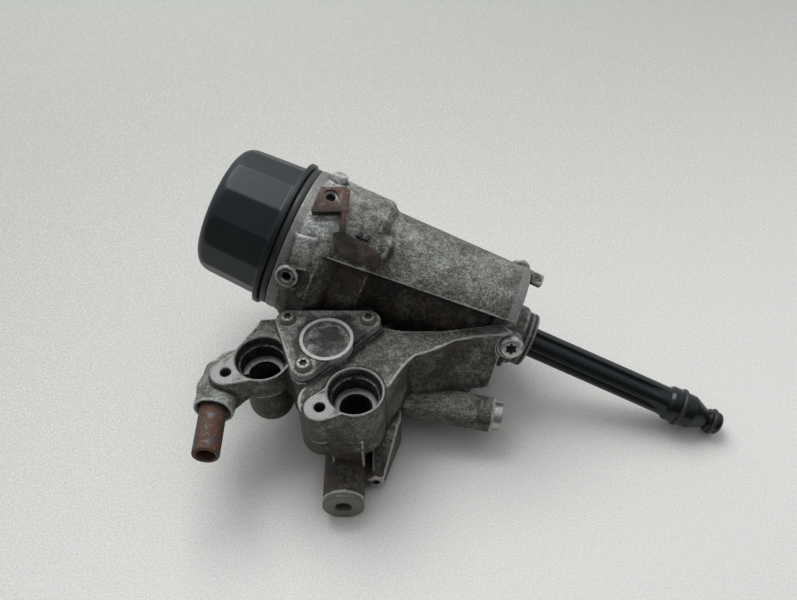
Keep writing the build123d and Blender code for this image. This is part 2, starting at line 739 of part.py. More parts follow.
def main_casting():
    """The die-cast body with every bore and hole in it."""
    body = bowl_outside() + spigot() + hood() + lobe_end_features()
    body += port_head(LEFT_PORT) + port_head(RIGHT_PORT)
    body += ears()
    body += left_arm()
    body += left_tube()
    body += right_body()
    body += valve_seat()
    body += port_deck()
    body += right_arm()
    body += collar_block()
    body += bolt_tube()
    body += foot()
    body += block_side()
    body += bowl_bosses()

    body -= bowl_inside()
    for groove in spigot_cuts():
        body -= groove
    body -= Pos(0, 0, SEAT_HEIGHT) * extrude(cover_outline(COVER_MARGIN), COVER_HEIGHT + COVER_GASKET)
    body -= port_bore(LEFT_PORT, PORT_HEIGHT - LEFT_TUBE_BOTTOM - 8)
    body -= port_bore(RIGHT_PORT, PORT_HEIGHT - BODY_BOTTOM - 9)
    for centre in (LEFT_EAR, RIGHT_EAR):
        body -= upright(centre, EAR_HOLE_RADIUS, PORT_HEIGHT - EAR_HOLE_DEPTH, PORT_HEIGHT + CUT)
    cover_top = SEAT_HEIGHT + COVER_GASKET + COVER_HEIGHT
    for centre in COVER_SCREWS:
        body -= upright(centre, SCREW_HEAD_RADIUS + COVER_MARGIN, SEAT_HEIGHT, cover_top + SCREW_HEAD_HEIGHT + CUT)
        depth = SCREW_LENGTH - COVER_HEIGHT + 1
        body -= upright(centre, SCREW_SHANK_RADIUS, SEAT_HEIGHT - depth, SEAT_HEIGHT + CUT)
    body -= upright(COVER_DISH_CENTRE, CHAMBER_RADIUS, CHAMBER_BOTTOM, SEAT_HEIGHT + CUT)
    body -= upright(COVER_DISH_CENTRE, CHAMBER_INLET_RADIUS, CHAMBER_INLET_BOTTOM, CHAMBER_BOTTOM + CUT)
    body -= stub_bores()
    body -= tube_bores()
    body -= foot_bores()
    body -= plug_bores()
    body -= flange_bores()
    body -= rod_between(on_bowl(12.4, 68.0, 36.5), on_bowl(12.4, 68.0, 44.6), 2.4)
    body -= bracket_plane() * Pos(*BRACKET_HOLE, CUT) * Cylinder(BRACKET_THREAD_RADIUS, 6.0, align=TOP)
    port_start = on_bowl(LOBE_END - LOBE_PORT_DEPTH, LOBE_PORT_ANGLE, LOBE_PORT_OFFSET)
    port_end = on_bowl(LOBE_END + CUT, LOBE_PORT_ANGLE, LOBE_PORT_OFFSET)
    body -= rod_between(port_start, port_end, LOBE_PORT_RADIUS)
    return body


def stub_bores():
    """Recess and bore of the pipe stub and the passage to the left port."""
    face = Vector(STUB_X, STUB_BOSS_FACE, STUB_Z)
    out = Vector(0, -CUT, 0)
    cut = rod_between(face + Vector(0, STUB_RECESS_DEPTH, 0), face + out, STUB_RECESS_RADIUS)
    cut += rod_between(face + Vector(0, STUB_PIPE_DEPTH, 0), face + out, STUB_PRESS_RADIUS)
    turn = face + Vector(0, STUB_PIPE_DEPTH + 4, 0)
    cut += rod_between(turn, face + out, STUB_PIPE_BORE)
    cut += rod_between(turn - Vector(0, 1, 0), Vector(LEFT_PORT[0], LEFT_PORT[1], STUB_Z - 4), STUB_PIPE_BORE - 1)
    return cut


def tube_bores():
    """Sleeve bore and thread hole of the bolt tube."""
    run = direction(TUBE_HEADING, TUBE_DIP)
    mouth = TUBE_END + run * CUT
    seat = SLEEVE_LENGTH - SLEEVE_OUT
    cut = rod_between(TUBE_END - run * seat, mouth, SLEEVE_RADIUS)
    cut += rod_between(TUBE_END - run * TUBE_THREAD_DEPTH, mouth, TUBE_THREAD_RADIUS)
    return cut


def foot_bores():
    """Bush bore of the foot and the hole of the side boss."""
    face = FOOT_FACE + BUSH_FLANGE
    mouth = Vector(FOOT_X, face - CUT, FOOT_RADIUS)
    cut = rod_between(Vector(FOOT_X, face + BUSH_LENGTH, FOOT_RADIUS), mouth, BUSH_RADIUS)
    cut += rod_between(Vector(FOOT_X, face + FOOT_LENGTH - 8, FOOT_RADIUS), mouth, FOOT_HOLE_RADIUS)
    out = Vector(0, -CUT, 0)
    cut += rod_between(SIDE_BOSS + Vector(0, SIDE_BOSS_DEPTH, 0), SIDE_BOSS + out, SIDE_BOSS_HOLE)
    return cut


def plug_bores():
    """Threaded hole of the plug, through to the rod bore."""
    aim = plug_aim()
    seat = PLUG_CENTRE - aim * (PLUG_HEAD_HEIGHT * 0.35)
    cut = rod_between(seat, PLUG_CENTRE + aim * 12, PLUG_HEAD_RADIUS + 1.0)
    cut += rod_between(seat - aim * (PLUG_SHANK_LENGTH + 1), seat + aim, PLUG_SHANK_RADIUS)
    return cut


def flange_bores():
    """Oil ports, bolt holes and the cross passages of the block side."""
    cut = upright((0, 0), BLOCK_PORT_RADIUS, -CUT, BLOCK_PORT_HEIGHT)
    cut += upright(RETURN_PORT, RETURN_PORT_RADIUS, -CUT, RETURN_PORT_DEPTH)
    cut += upright(RETURN_PORT, RETURN_PASSAGE_RADIUS, -CUT, RETURN_TOP)
    for x, y, _ in FLANGE_CORNERS[1:]:
        cut += upright((x, y), FLANGE_BOLT_RADIUS, -CUT, FLANGE_HEIGHT + CUT)
    dish = Vector(COVER_DISH_CENTRE[0], COVER_DISH_CENTRE[1], CHAMBER_INLET_BOTTOM + 4.5)
    cut += rod_between(Vector(0, 0, BLOCK_PORT_HEIGHT - 4), dish, 4.5)
    return cut


# Cap, seal, element, rod


def filter_cap():
    """Screw cap: drafted flats, rounded crown, flange and threaded skirt."""
    top = -CAP_HEIGHT
    apothem = CAP_ACROSS_FLATS / 2
    flats = Plane.XY * RegularPolygon(apothem, CAP_FLATS, major_radius=False)
    prism = Rot(180, 0, 0) * extrude(flats, CAP_HEIGHT, taper=CAP_DRAFT)
    corner = apothem / math.cos(math.pi / CAP_FLATS) + CUT
    crown_edge = CAP_HEIGHT - CAP_CROWN_RISE
    with BuildSketch(Plane.XZ) as crown:
        with BuildLine():
            side = Line((corner, CUT), (corner, -CAP_SHOULDER_HEIGHT + 6))
            lean = Line(side @ 1, (apothem + 0.1, -CAP_SHOULDER_HEIGHT))
            bend = TangentArc(lean @ 1, (CAP_CROWN_RADIUS, -crown_edge), tangent=(-0.02, -1))
            dome = ThreePointArc(bend @ 1, (CAP_CROWN_RADIUS * 0.55, -crown_edge - CAP_CROWN_RISE * 0.75), (0, top))
            Line(dome @ 1, (0, CUT))
            Line((0, CUT), side @ 0)
        make_face()
    body = prism & revolve(crown.sketch, Axis.Z)
    body = body + Pos(0, 0, -CAP_FLANGE_HALF) * fillet(
        Cylinder(CAP_FLANGE_RADIUS, 2 * CAP_FLANGE_HALF, align=BASE).edges(), 0.7
    )
    skirt_end = CAP_FLANGE_HALF + CAP_SKIRT_LENGTH
    skirt = MOUTH_BORE_RADIUS - SLIDE_GAP
    body += Cylinder(skirt, skirt_end, align=BASE)
    inner = CAP_ACROSS_FLATS / 2 - CAP_WALL
    room_top = -CAP_HEIGHT + CAP_WALL + 0.8
    room = Pos(0, 0, room_top) * Cylinder(inner, skirt_end - room_top + CUT, align=BASE)
    room = fillet(room.edges().group_by(Axis.Z)[0], 9)
    body -= room
    post = Pos(0, 0, room_top - 1) * Cylinder(CAP_POST_RADIUS, CAP_POST_LENGTH + 1, align=BASE)
    bore = Pos(0, 0, room_top) * Cylinder(CAP_POST_RADIUS - CAP_POST_WALL, CAP_POST_LENGTH + 1, align=BASE)
    return BOWL * Pos(0, 0, CAP_SEAT) * (body + post - bore)


def cap_seal_ring():
    """Square ring under the cap flange."""
    inner = MOUTH_BORE_RADIUS - SLIDE_GAP
    start = CAP_SEAT + CAP_FLANGE_HALF
    return bowl_rod(SEAL_RADIUS, start, start + SEAL_HEIGHT) - bowl_rod(inner, start - CUT, start + SEAL_HEIGHT + CUT)


def filter_pleats():
    """Folded paper of the element round its core."""
    points = []
    for index in range(2 * PLEATS):
        reach = ELEMENT_RADIUS if index % 2 == 0 else CORE_RADIUS + PLEAT_GAP
        turn = math.pi * index / PLEATS
        points.append((reach * math.cos(turn), reach * math.sin(turn)))
    star = make_face(Polyline(*points, close=True)) - Circle(CORE_RADIUS)
    return BOWL * Pos(0, 0, ELEMENT_START) * extrude(star, ELEMENT_END - ELEMENT_START)


def filter_core():
    """Cage of windows inside the pleats."""
    length = ELEMENT_END - ELEMENT_START
    tube = Pos(0, 0, ELEMENT_START) * Cylinder(CORE_RADIUS, length, align=BASE)
    tube -= Pos(0, 0, ELEMENT_START - CUT) * Cylinder(CORE_RADIUS - CORE_WALL, length + 2 * CUT, align=BASE)
    rows = 4
    pitch = (length - 24) / rows
    for row in range(rows):
        height = ELEMENT_START + 20 + pitch * (row + 0.5)
        tube -= Pos(0, 0, height) * Box(3 * CORE_RADIUS, 8, pitch - 4)
        tube -= Pos(0, 0, height) * Box(8, 3 * CORE_RADIUS, pitch - 4)
    return BOWL * tube


def upper_disc():
    """End disc of the element at the cap, with the seat of the bypass."""
    start = ELEMENT_START - DISC_HEIGHT
    disc = Pos(0, 0, start) * Cylinder(ELEMENT_RADIUS, DISC_HEIGHT, align=BASE)
    disc += Pos(0, 0, start - 3) * Cylinder(CAP_POST_RADIUS + SLIDE_GAP + 2, 3 + CUT, align=BASE)
    disc -= Pos(0, 0, start - 3 - CUT) * Cylinder(CAP_POST_RADIUS + SLIDE_GAP, 3 + CUT, align=BASE)
    disc -= Pos(0, 0, start - CUT) * Cylinder(BYPASS_HOLE_RADIUS, DISC_HEIGHT + 2 * CUT, align=BASE)
    return BOWL * disc


def lower_disc():
    """End disc of the element at the bowl floor, with a lip to the rod."""
    disc = Pos(0, 0, ELEMENT_END) * Cylinder(ELEMENT_RADIUS, DISC_HEIGHT, align=BASE)
    disc -= Pos(0, 0, ELEMENT_END - CUT) * Cylinder(ROD_RADIUS + RUNNING_GAP, DISC_HEIGHT + 2 * CUT, align=BASE)
    return BOWL * disc


def drain_rod():
    """Fluted plastic rod with its head, gland, cone and tip."""
    head_radius = CORE_RADIUS - CORE_WALL - RUNNING_GAP
    shaft = Pos(0, 0, ROD_HEAD_START) * Cylinder(ROD_RADIUS, ROD_GLAND_START - ROD_HEAD_START, align=BASE)
    flute_start = ROD_HEAD_START + ROD_HEAD_HEIGHT + 3
    flute_run = ROD_GLAND_START - 6 - flute_start
    for index in range(ROD_FLUTES):
        turn = math.radians(360 / ROD_FLUTES * (index + 0.25))
        place = Pos(ROD_FLUTE_OFFSET * math.cos(turn), ROD_FLUTE_OFFSET * math.sin(turn), flute_start)
        shaft -= place * Cylinder(ROD_FLUTE_RADIUS, flute_run, align=BASE)
    shaft += Pos(0, 0, ROD_HEAD_START) * Cylinder(head_radius, ROD_HEAD_HEIGHT, align=BASE)
    start = ROD_GLAND_START
    points = [
        (0, start - 1),
        (ROD_RADIUS, start - 1),
        (ROD_GLAND_RADIUS, start + 1),
        (ROD_GLAND_RADIUS, start + 6),
        (ROD_RADIUS - 0.6, start + 6),
        (ROD_RADIUS - 0.6, start + 9),
        (ROD_GLAND_RADIUS - 0.3, start + 9),
        (ROD_GLAND_RADIUS - 0.3, start + 14.5),
        (ROD_NECK_RADIUS, ROD_CONE_END),
        (ROD_TIP_RADIUS, ROD_CONE_END + 0.4),
        (ROD_TIP_RADIUS, ROD_CONE_END + 2.2),
        (ROD_NECK_RADIUS, ROD_CONE_END + 2.2),
        (ROD_NECK_RADIUS, ROD_CONE_END + 4.8),
        (ROD_TIP_RADIUS, ROD_CONE_END + 4.8),
        (ROD_TIP_RADIUS, ROD_LENGTH_END - 1.4),
        (ROD_TIP_RADIUS - 1.4, ROD_LENGTH_END),
        (0, ROD_LENGTH_END),
    ]
    gland = revolve(Plane.XZ * make_face(Polyline(*points, close=True)), Axis.Z)
    rod = shaft + gland
    rod -= Pos(0, 0, ROD_HEAD_START - CUT) * Cylinder(
        BYPASS_STEM_RADIUS + RUNNING_GAP, BYPASS_STEM_LENGTH + BYPASS_TRAVEL, align=BASE
    )
    return BOWL * rod


def o_ring(station, radius, section):
    """Ring of round section on the bowl axis."""
    return BOWL * Pos(0, 0, station) * Torus(radius, section)


def rod_gland_ring():
    """Large ring in the gland of the rod."""
    section = 1.45
    inner = ROD_RADIUS - 0.6
    return o_ring(ROD_GLAND_START + 7.5, inner + section, section)


def rod_tip_ring():
    """Small ring near the tip of the rod."""
    section = 1.2
    return o_ring(ROD_CONE_END + 3.5, ROD_NECK_RADIUS + section, section)


def spigot_rings():
    """Two rings in the grooves of the spigot."""
    section = SPIGOT_GROOVE_WIDTH / 2 - 0.05
    rings = []
    for start in spigot_grooves():
        rings.append(o_ring(start + SPIGOT_GROOVE_WIDTH / 2, SPIGOT_RADIUS - SPIGOT_GROOVE_DEPTH + section, section))
    return Compound(rings)


def bypass_poppet():
    """Disc and stem that close the hole of the upper disc."""
    disc = Pos(0, 0, ELEMENT_START) * Cylinder(BYPASS_DISC_RADIUS, BYPASS_DISC_HEIGHT, align=BASE)
    stem = Pos(0, 0, ELEMENT_START) * Cylinder(
        BYPASS_STEM_RADIUS, ROD_HEAD_START - ELEMENT_START + BYPASS_STEM_LENGTH - CUT, align=BASE
    )
    return BOWL * (disc + stem)


def bypass_spring():
    """Spring between the bypass disc and the rod head."""
    start = ELEMENT_START + BYPASS_DISC_HEIGHT
    return BOWL * Pos(0, 0, start) * coil(BYPASS_WIRE, BYPASS_COIL_RADIUS, ROD_HEAD_START - start, BYPASS_TURNS)


# Valve cover, gasket, screws, piston


def cover_outline(margin=0.0):
    """Plan outline of the triangular cover."""
    return hull_plan([(x, y, COVER_CORNER + margin) for x, y in COVER_SCREWS])


def valve_cover():
    """Triangular cover with its dish and screw holes."""
    bottom = SEAT_HEIGHT + COVER_GASKET
    top = bottom + COVER_HEIGHT
    cover = Pos(0, 0, bottom) * extrude(cover_outline(), COVER_HEIGHT)
    cover = fillet(cover.edges().group_by(Axis.Z)[-1], 0.8)
    cover += upright(COVER_DISH_CENTRE, COVER_DISH_RADIUS + COVER_RIM_WIDTH, bottom, top + COVER_RIM_HEIGHT)
    dish = upright(COVER_DISH_CENTRE, COVER_DISH_RADIUS, top - COVER_DISH_DEPTH, top + COVER_RIM_HEIGHT + CUT)
    cover -= fillet(dish.edges().group_by(Axis.Z)[0], 1.0)
    for centre in COVER_SCREWS:
        cover -= upright(centre, SCREW_SHANK_RADIUS + RUNNING_GAP, bottom - CUT, top + CUT)
    return cover


def cover_gasket():
    """Sheet gasket below the cover."""
    gasket = Pos(0, 0, SEAT_HEIGHT) * extrude(cover_outline(0.3), COVER_GASKET)
    gasket -= upright(COVER_DISH_CENTRE, CHAMBER_RADIUS, SEAT_HEIGHT - CUT, SEAT_HEIGHT + 2)
    for centre in COVER_SCREWS:
        gasket -= upright(centre, SCREW_SHANK_RADIUS + RUNNING_GAP, SEAT_HEIGHT - CUT, SEAT_HEIGHT + 2)
    return gasket


def cover_screws():
    """Three round-head screws of the cover."""
    top = SEAT_HEIGHT + COVER_GASKET + COVER_HEIGHT
    screws = []
    for x, y in COVER_SCREWS:
        head = fillet(Cylinder(SCREW_HEAD_RADIUS, SCREW_HEAD_HEIGHT, align=BASE).edges().group_by(Axis.Z)[-1], 1.6)
        shank = Cylinder(SCREW_SHANK_RADIUS, SCREW_LENGTH, align=TOP)
        socket = Pos(0, 0, SCREW_HEAD_HEIGHT - 1.6) * torx(SCREW_SOCKET_RADIUS, 3)
        screws.append(Pos(x, y, top) * (head + shank - socket))
    return Compound(screws)


def valve_piston():
    """Hollow piston of the pressure valve."""
    radius = CHAMBER_RADIUS - RUNNING_GAP
    bottom = CHAMBER_BOTTOM + STOP_HEIGHT
    piston = upright(COVER_DISH_CENTRE, radius, bottom, bottom + PISTON_LENGTH)
    piston = chamfer(piston.edges().group_by(Axis.Z)[0], 1.5)
    piston -= upright(COVER_DISH_CENTRE, radius - PISTON_WALL, bottom + 3, bottom + PISTON_LENGTH + CUT)
    return piston


def valve_stop():
    """Stop ring on which the piston rests in its bore."""
    bottom = CHAMBER_BOTTOM
    top = bottom + STOP_HEIGHT
    ring = upright(COVER_DISH_CENTRE, CHAMBER_RADIUS - RUNNING_GAP, bottom, top)
    return ring - upright(COVER_DISH_CENTRE, CHAMBER_INLET_RADIUS, bottom - CUT, top + CUT)


def valve_spring():
    """Spring between the piston and the cover."""
    bottom = CHAMBER_BOTTOM + STOP_HEIGHT + 3
    top = SEAT_HEIGHT + COVER_GASKET
    radius = CHAMBER_RADIUS - PISTON_WALL - PISTON_SPRING_WIRE - 0.4
    spring = coil(PISTON_SPRING_WIRE, radius, top - bottom, PISTON_SPRING_TURNS)
    return Pos(COVER_DISH_CENTRE[0], COVER_DISH_CENTRE[1], bottom) * spring


# Pressed and screwed pieces


def pipe_stub():
    """Steel pipe pressed into the left arm."""
    inner = Vector(STUB_X, STUB_BOSS_FACE + STUB_PIPE_DEPTH, STUB_Z)
    outer = Vector(STUB_X, STUB_PIPE_END, STUB_Z)
    pipe = rod_between(inner, outer, STUB_PIPE_RADIUS)
    pipe = fillet(pipe.edges().group_by(Axis.Y)[0], STUB_PIPE_ROUND)
    step = Vector(STUB_X, STUB_BOSS_FACE - STUB_PRESS_OUT, STUB_Z)
    pipe += rod_between(inner, step, STUB_PRESS_RADIUS)
    return pipe - rod_between(inner + Vector(0, CUT, 0), outer - Vector(0, CUT, 0), STUB_PIPE_BORE)


def bolt_sleeve():
    """Steel sleeve in the end of the bolt tube."""
    run = direction(TUBE_HEADING, TUBE_DIP)
    outer = TUBE_END + run * SLEEVE_OUT
    inner = outer - run * SLEEVE_LENGTH
    sleeve = rod_between(inner, outer, SLEEVE_RADIUS)
    sleeve = chamfer(sleeve.edges().group_by(Axis(TUBE_END, run))[-1], 0.6)
    return sleeve - rod_between(inner - run * CUT, outer + run * CUT, SLEEVE_BORE)


def foot_bush():
    """Flanged bush in the foot tube."""
    face = Vector(FOOT_X, FOOT_FACE, FOOT_RADIUS)
    collar = face + Vector(0, BUSH_FLANGE, 0)
    inner = collar + Vector(0, BUSH_LENGTH, 0)
    bush = rod_between(collar, face, BUSH_FLANGE_RADIUS)
    bush = fillet(bush.edges().group_by(Axis.Y)[0], 0.6)
    bush += rod_between(inner, collar, BUSH_RADIUS)
    return bush - rod_between(inner + Vector(0, CUT, 0), face - Vector(0, CUT, 0), FOOT_HOLE_RADIUS)


def plug_place():
    """Plane of the plug seat, its axis out of the collar."""
    aim = plug_aim()
    return Plane(origin=PLUG_CENTRE - aim * (PLUG_HEAD_HEIGHT * 0.35), z_dir=aim)


def gallery_plug():
    """Screw plug with a six-lobed socket."""
    head = Pos(0, 0, PLUG_WASHER) * Cylinder(PLUG_HEAD_RADIUS, PLUG_HEAD_HEIGHT, align=BASE)
    head = fillet(head.edges().group_by(Axis.Z)[-1], 0.9)
    shank = Pos(0, 0, PLUG_WASHER) * Cylinder(PLUG_SHANK_RADIUS, PLUG_SHANK_LENGTH + PLUG_WASHER, align=TOP)
    socket = Pos(0, 0, PLUG_WASHER + PLUG_HEAD_HEIGHT - 2.4) * torx(3.3, 4)
    return plug_place() * (head + shank - socket)


def plug_washer():
    """Sealing washer below the plug head."""
    ring = Cylinder(PLUG_HEAD_RADIUS + 0.6, PLUG_WASHER, align=BASE)
    return plug_place() * (ring - Cylinder(PLUG_SHANK_RADIUS + RUNNING_GAP, 3 * PLUG_WASHER))


def panel(points):
    """Flat piece of sheet over four corners, its thickness outwards."""
    first, second, _, last = points
    place = Plane(origin=first, x_dir=second - first, z_dir=(second - first).cross(last - first))
    flat = [place.to_local_coords(point) for point in points]
    outline = make_face(Polyline(*[(point.X, point.Y) for point in flat], close=True))
    return place * extrude(outline, SHEET)


def sheet_bracket():
    """Bent sheet bracket: top plate with a hole, leg, strap and flap."""
    top = bracket_plane()
    outline = make_face(Polyline((9.8, 7.0), (21.6, 13.4), (24.4, 12.0), (27.6, 0.8), (10.8, -8.8), close=True))
    plate = top * (extrude(outline, SHEET) - Pos(*BRACKET_HOLE, 0) * Cylinder(BRACKET_HOLE_RADIUS, 4 * SHEET))
    inner = top.from_local_coords(Vector(10.8, -8.8, SHEET))
    outer = top.from_local_coords(Vector(27.6, 0.8, SHEET))
    drop = radial(BRACKET_ANGLE) * -BRACKET_LEG
    run = (outer - inner).normalized()
    leg = panel([inner, inner + drop + run, outer + drop - run, outer])
    strap = panel([on_bowl(24.2, 9, 43.4), on_bowl(28.4, 25, 43.2), on_bowl(31.6, 25, 43.2), on_bowl(27.4, 9, 43.4)])
    side = Plane(origin=on_bowl(0, FLAP_ANGLE, FLAP_LEVEL), x_dir=AXIS, z_dir=radial(FLAP_ANGLE))
    flap_line = [(25.5, 3.2), (30, 5.4), (46, 4), (52, 2.4), (55.5, -1), (52, -5), (43, -5.6), (30, -5.4)]
    flap = side * extrude(make_face(Polyline(*flap_line, close=True)), SHEET)
    return plate + leg + strap + flap


def cable_clip():
    """Black clip on the hood beside the flap."""
    ring = bowl_rod(CLIP_RADIUS, CLIP_START, CLIP_START + CLIP_LENGTH)
    ring -= bowl_rod(HOOD_RADIUS, CLIP_START - CUT, CLIP_START + CLIP_LENGTH + CUT)
    place = Plane(origin=on_bowl(CLIP_START, CLIP_ANGLE), x_dir=AXIS, z_dir=radial(CLIP_ANGLE))
    clip = ring & (place * Box(3 * CLIP_LENGTH, CLIP_WIDTH, 2 * CLIP_RADIUS, align=BASE))
    slot = place * Pos(CLIP_LENGTH / 2, 0, CLIP_RADIUS) * Box(CLIP_LENGTH / 4, 2 * CLIP_WIDTH, 2.0)
    return clip - slot


def save(solid, name):
    """Write one node's STEP file."""
    export_step(solid, os.path.join("parts", name + ".step"))


def main():
    """Build and write every node."""
    save(main_casting(), "main_casting")
    save(filter_cap(), "filter_cap")
    save(cap_seal_ring(), "cap_seal_ring")
    save(filter_pleats(), "filter_pleats")
    save(filter_core(), "filter_core")
    save(upper_disc(), "element_upper_disc")
    save(lower_disc(), "element_lower_disc")
    save(drain_rod(), "drain_rod")
    save(rod_gland_ring(), "rod_gland_ring")
    save(rod_tip_ring(), "rod_tip_ring")
    save(spigot_rings(), "spigot_rings")
    save(bypass_poppet(), "bypass_poppet")
    save(bypass_spring(), "bypass_spring")
    save(valve_cover(), "valve_cover")
    save(cover_gasket(), "cover_gasket")
    save(cover_screws(), "cover_screws")
    save(valve_piston(), "valve_piston")
    save(valve_stop(), "valve_stop_ring")
    save(valve_spring(), "valve_spring")
    save(pipe_stub(), "pipe_stub")
    save(bolt_sleeve(), "bolt_sleeve")
    save(foot_bush(), "foot_bush")
    save(gallery_plug(), "gallery_plug")
    save(plug_washer(), "plug_washer")
    save(sheet_bracket(), "sheet_bracket")
    save(cable_clip(), "cable_clip")


main()
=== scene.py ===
"""Looks of a used die-cast oil filter housing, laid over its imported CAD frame."""

import json
import logging
import math
from dataclasses import dataclass
from enum import Enum
from typing import Callable, Dict, List, Optional, Sequence, Tuple

import bmesh
import bpy
import numpy as np
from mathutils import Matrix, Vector


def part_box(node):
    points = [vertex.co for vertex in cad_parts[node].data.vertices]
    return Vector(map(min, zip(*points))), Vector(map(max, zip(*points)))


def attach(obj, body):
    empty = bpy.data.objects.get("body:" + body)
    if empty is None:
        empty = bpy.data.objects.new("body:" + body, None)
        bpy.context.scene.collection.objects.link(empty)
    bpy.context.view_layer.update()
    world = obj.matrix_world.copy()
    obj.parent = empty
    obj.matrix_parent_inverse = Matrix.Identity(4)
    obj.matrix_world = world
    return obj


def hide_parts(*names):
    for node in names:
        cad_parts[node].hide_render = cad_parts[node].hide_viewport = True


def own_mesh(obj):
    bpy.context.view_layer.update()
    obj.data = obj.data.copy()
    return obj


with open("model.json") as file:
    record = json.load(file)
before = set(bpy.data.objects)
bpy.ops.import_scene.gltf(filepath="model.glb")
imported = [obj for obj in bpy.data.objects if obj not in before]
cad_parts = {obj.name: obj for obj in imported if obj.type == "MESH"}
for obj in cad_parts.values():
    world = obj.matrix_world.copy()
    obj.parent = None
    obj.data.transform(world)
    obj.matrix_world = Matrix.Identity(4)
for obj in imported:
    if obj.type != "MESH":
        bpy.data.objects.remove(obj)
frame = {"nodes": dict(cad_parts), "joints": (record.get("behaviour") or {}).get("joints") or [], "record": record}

logging.basicConfig(level=logging.INFO, format="%(message)s")
LOG = logging.getLogger("housing")

MM = 0.001
MARK = 1.0  # added to a radius of a profile row that follows a shape
BEVEL_ANGLE = 32.0  # degrees, CAD edges sharper than this are rounded
Colour = Tuple[float, float, float]
Piece = bpy.types.Object
Look = bpy.types.Material
Socket = bpy.types.NodeSocket
Shape = Callable[[np.ndarray, np.ndarray, np.ndarray], np.ndarray]
MOUNTS: Dict[str, dict] = {item["name"]: item for item in frame["record"]["mounts"]}
PORTS = ("left_port", "right_port")
EARS = ("left_ear_hole", "right_ear_hole")
JOINTS: Dict[str, dict] = {item["name"]: item for item in frame["joints"]}


class Body(Enum):
    """Rigid bodies that dressed pieces ride on."""

    HOUSING = "housing"
    INSERT = "insert"
    CAP = "cap"


# Places and meshes


@dataclass(frozen=True)
class Place:
    """Local frame: z along the axis, x at angle 0."""

    origin: np.ndarray
    axis: np.ndarray
    up: np.ndarray

    @staticmethod
    def of(origin: Sequence[float], axis: Sequence[float], hint: Sequence[float] = (0, 0, 1)) -> "Place":
        """Frame at a point along an axis.

        Args:
            origin: Point in metres.
            axis: Direction of local z.
            hint: Direction that local x leans towards.

        Returns:
            The frame, with unit vectors.
        """
        line = np.asarray(axis, float)
        line = line / np.linalg.norm(line)
        lean = np.asarray(hint, float)
        if abs(line @ lean) > 0.99:
            lean = np.array([1.0, 0.0, 0.0])
        lean = lean - line * (lean @ line)
        return Place(np.asarray(origin, float), line, lean / np.linalg.norm(lean))

    @property
    def side(self) -> np.ndarray:
        """Local y."""
        return np.cross(self.axis, self.up)

    def out(self, local: np.ndarray) -> np.ndarray:
        """World points of local ones."""
        basis = np.stack([self.up, self.side, self.axis])
        return self.origin + local @ basis

    def polar(self, points: np.ndarray) -> Tuple[np.ndarray, np.ndarray, np.ndarray]:
        """Station, angle in degrees and radius of world points."""
        offset = points - self.origin
        x, y, z = offset @ self.up, offset @ self.side, offset @ self.axis
        return z, np.degrees(np.arctan2(y, x)), np.hypot(x, y)

    def at(self, station: float) -> np.ndarray:
        """World point on the axis at a station."""
        return self.origin + self.axis * station


BOWL = Place.of(JOINTS["cap_turn"]["pos_m"], -np.asarray(JOINTS["cap_turn"]["axis"], float))


def mount_place(name: str) -> Place:
    """Frame of a mount of the record."""
    item = MOUNTS[name]
    return Place.of(item["pos_m"], item["axis"])


def smoothstep(low: float, high: float, value: np.ndarray) -> np.ndarray:
    """Smooth rise from 0 at low to 1 at high."""
    share = np.clip((value - low) / (high - low), 0.0, 1.0)
    return share * share * (3.0 - 2.0 * share)


def fall(low: float, high: float, value: np.ndarray) -> np.ndarray:
    """Smooth drop from 1 at low to 0 at high."""
    return 1 - smoothstep(low, high, value)


def between(low: float, high: float, value: np.ndarray) -> np.ndarray:
    """True where a value lies between two limits."""
    return (value > low) & (value < high)


def mesh_object(name: str, vertices: np.ndarray, faces: np.ndarray) -> Piece:
    """Mesh object from arrays, with doubled points merged.

    Args:
        name: Name of the piece.
        vertices: Points, (n, 3), metres.
        faces: Corner indices, (m, 4).

    Returns:
        The linked object.
    """
    mesh = bpy.data.meshes.new(name)
    mesh.vertices.add(len(vertices))
    mesh.vertices.foreach_set("co", vertices.astype(np.float32).ravel())
    mesh.loops.add(faces.size)
    mesh.loops.foreach_set("vertex_index", faces.astype(np.int32).ravel())
    mesh.polygons.add(len(faces))
    mesh.polygons.foreach_set("loop_start", np.arange(0, faces.size, faces.shape[1], dtype=np.int32))
    mesh.update(calc_edges=True)
    weld(mesh, 1e-6)
    piece = bpy.data.objects.new(name, mesh)
    bpy.context.scene.collection.objects.link(piece)
    return piece


def weld(mesh: bpy.types.Mesh, distance: float) -> None:
    """Merge doubled points and drop faces with no area."""
    work = bmesh.new()
    work.from_mesh(mesh)
    bmesh.ops.remove_doubles(work, verts=work.verts, dist=distance)
    bmesh.ops.dissolve_degenerate(work, edges=work.edges, dist=distance)
    bmesh.ops.recalc_face_normals(work, faces=work.faces)
    work.to_mesh(mesh)
    work.free()
    mesh.update()


def rounded(profile: Sequence[Tuple[float, float, float]], steps: int = 5) -> np.ndarray:
    """Profile with each corner turned into a curve of its own radius.

    A corner becomes a quadratic curve between the two points that lie its
    radius away along both runs.

    Args:
        profile: (radius, height, rounding) of each corner.
        steps: Points on each curve.

    Returns:
        (n, 2) array of radius and height.
    """
    points = [np.array(item[:2], float) for item in profile]
    share = np.linspace(0.0, 1.0, steps)[:, None]
    rows: List[np.ndarray] = []
    for index, point in enumerate(points):
        size = profile[index][2]
        if size <= 0 or index in (0, len(points) - 1):
            rows.append(point[None])
            continue
        before, after = points[index - 1] - point, points[index + 1] - point
        reach = min(size, 0.45 * np.linalg.norm(before), 0.45 * np.linalg.norm(after))
        start = point + before / np.linalg.norm(before) * reach
        stop = point + after / np.linalg.norm(after) * reach
        rows.append((1 - share) ** 2 * start + 2 * share * (1 - share) * point + share**2 * stop)
    return np.concatenate(rows)


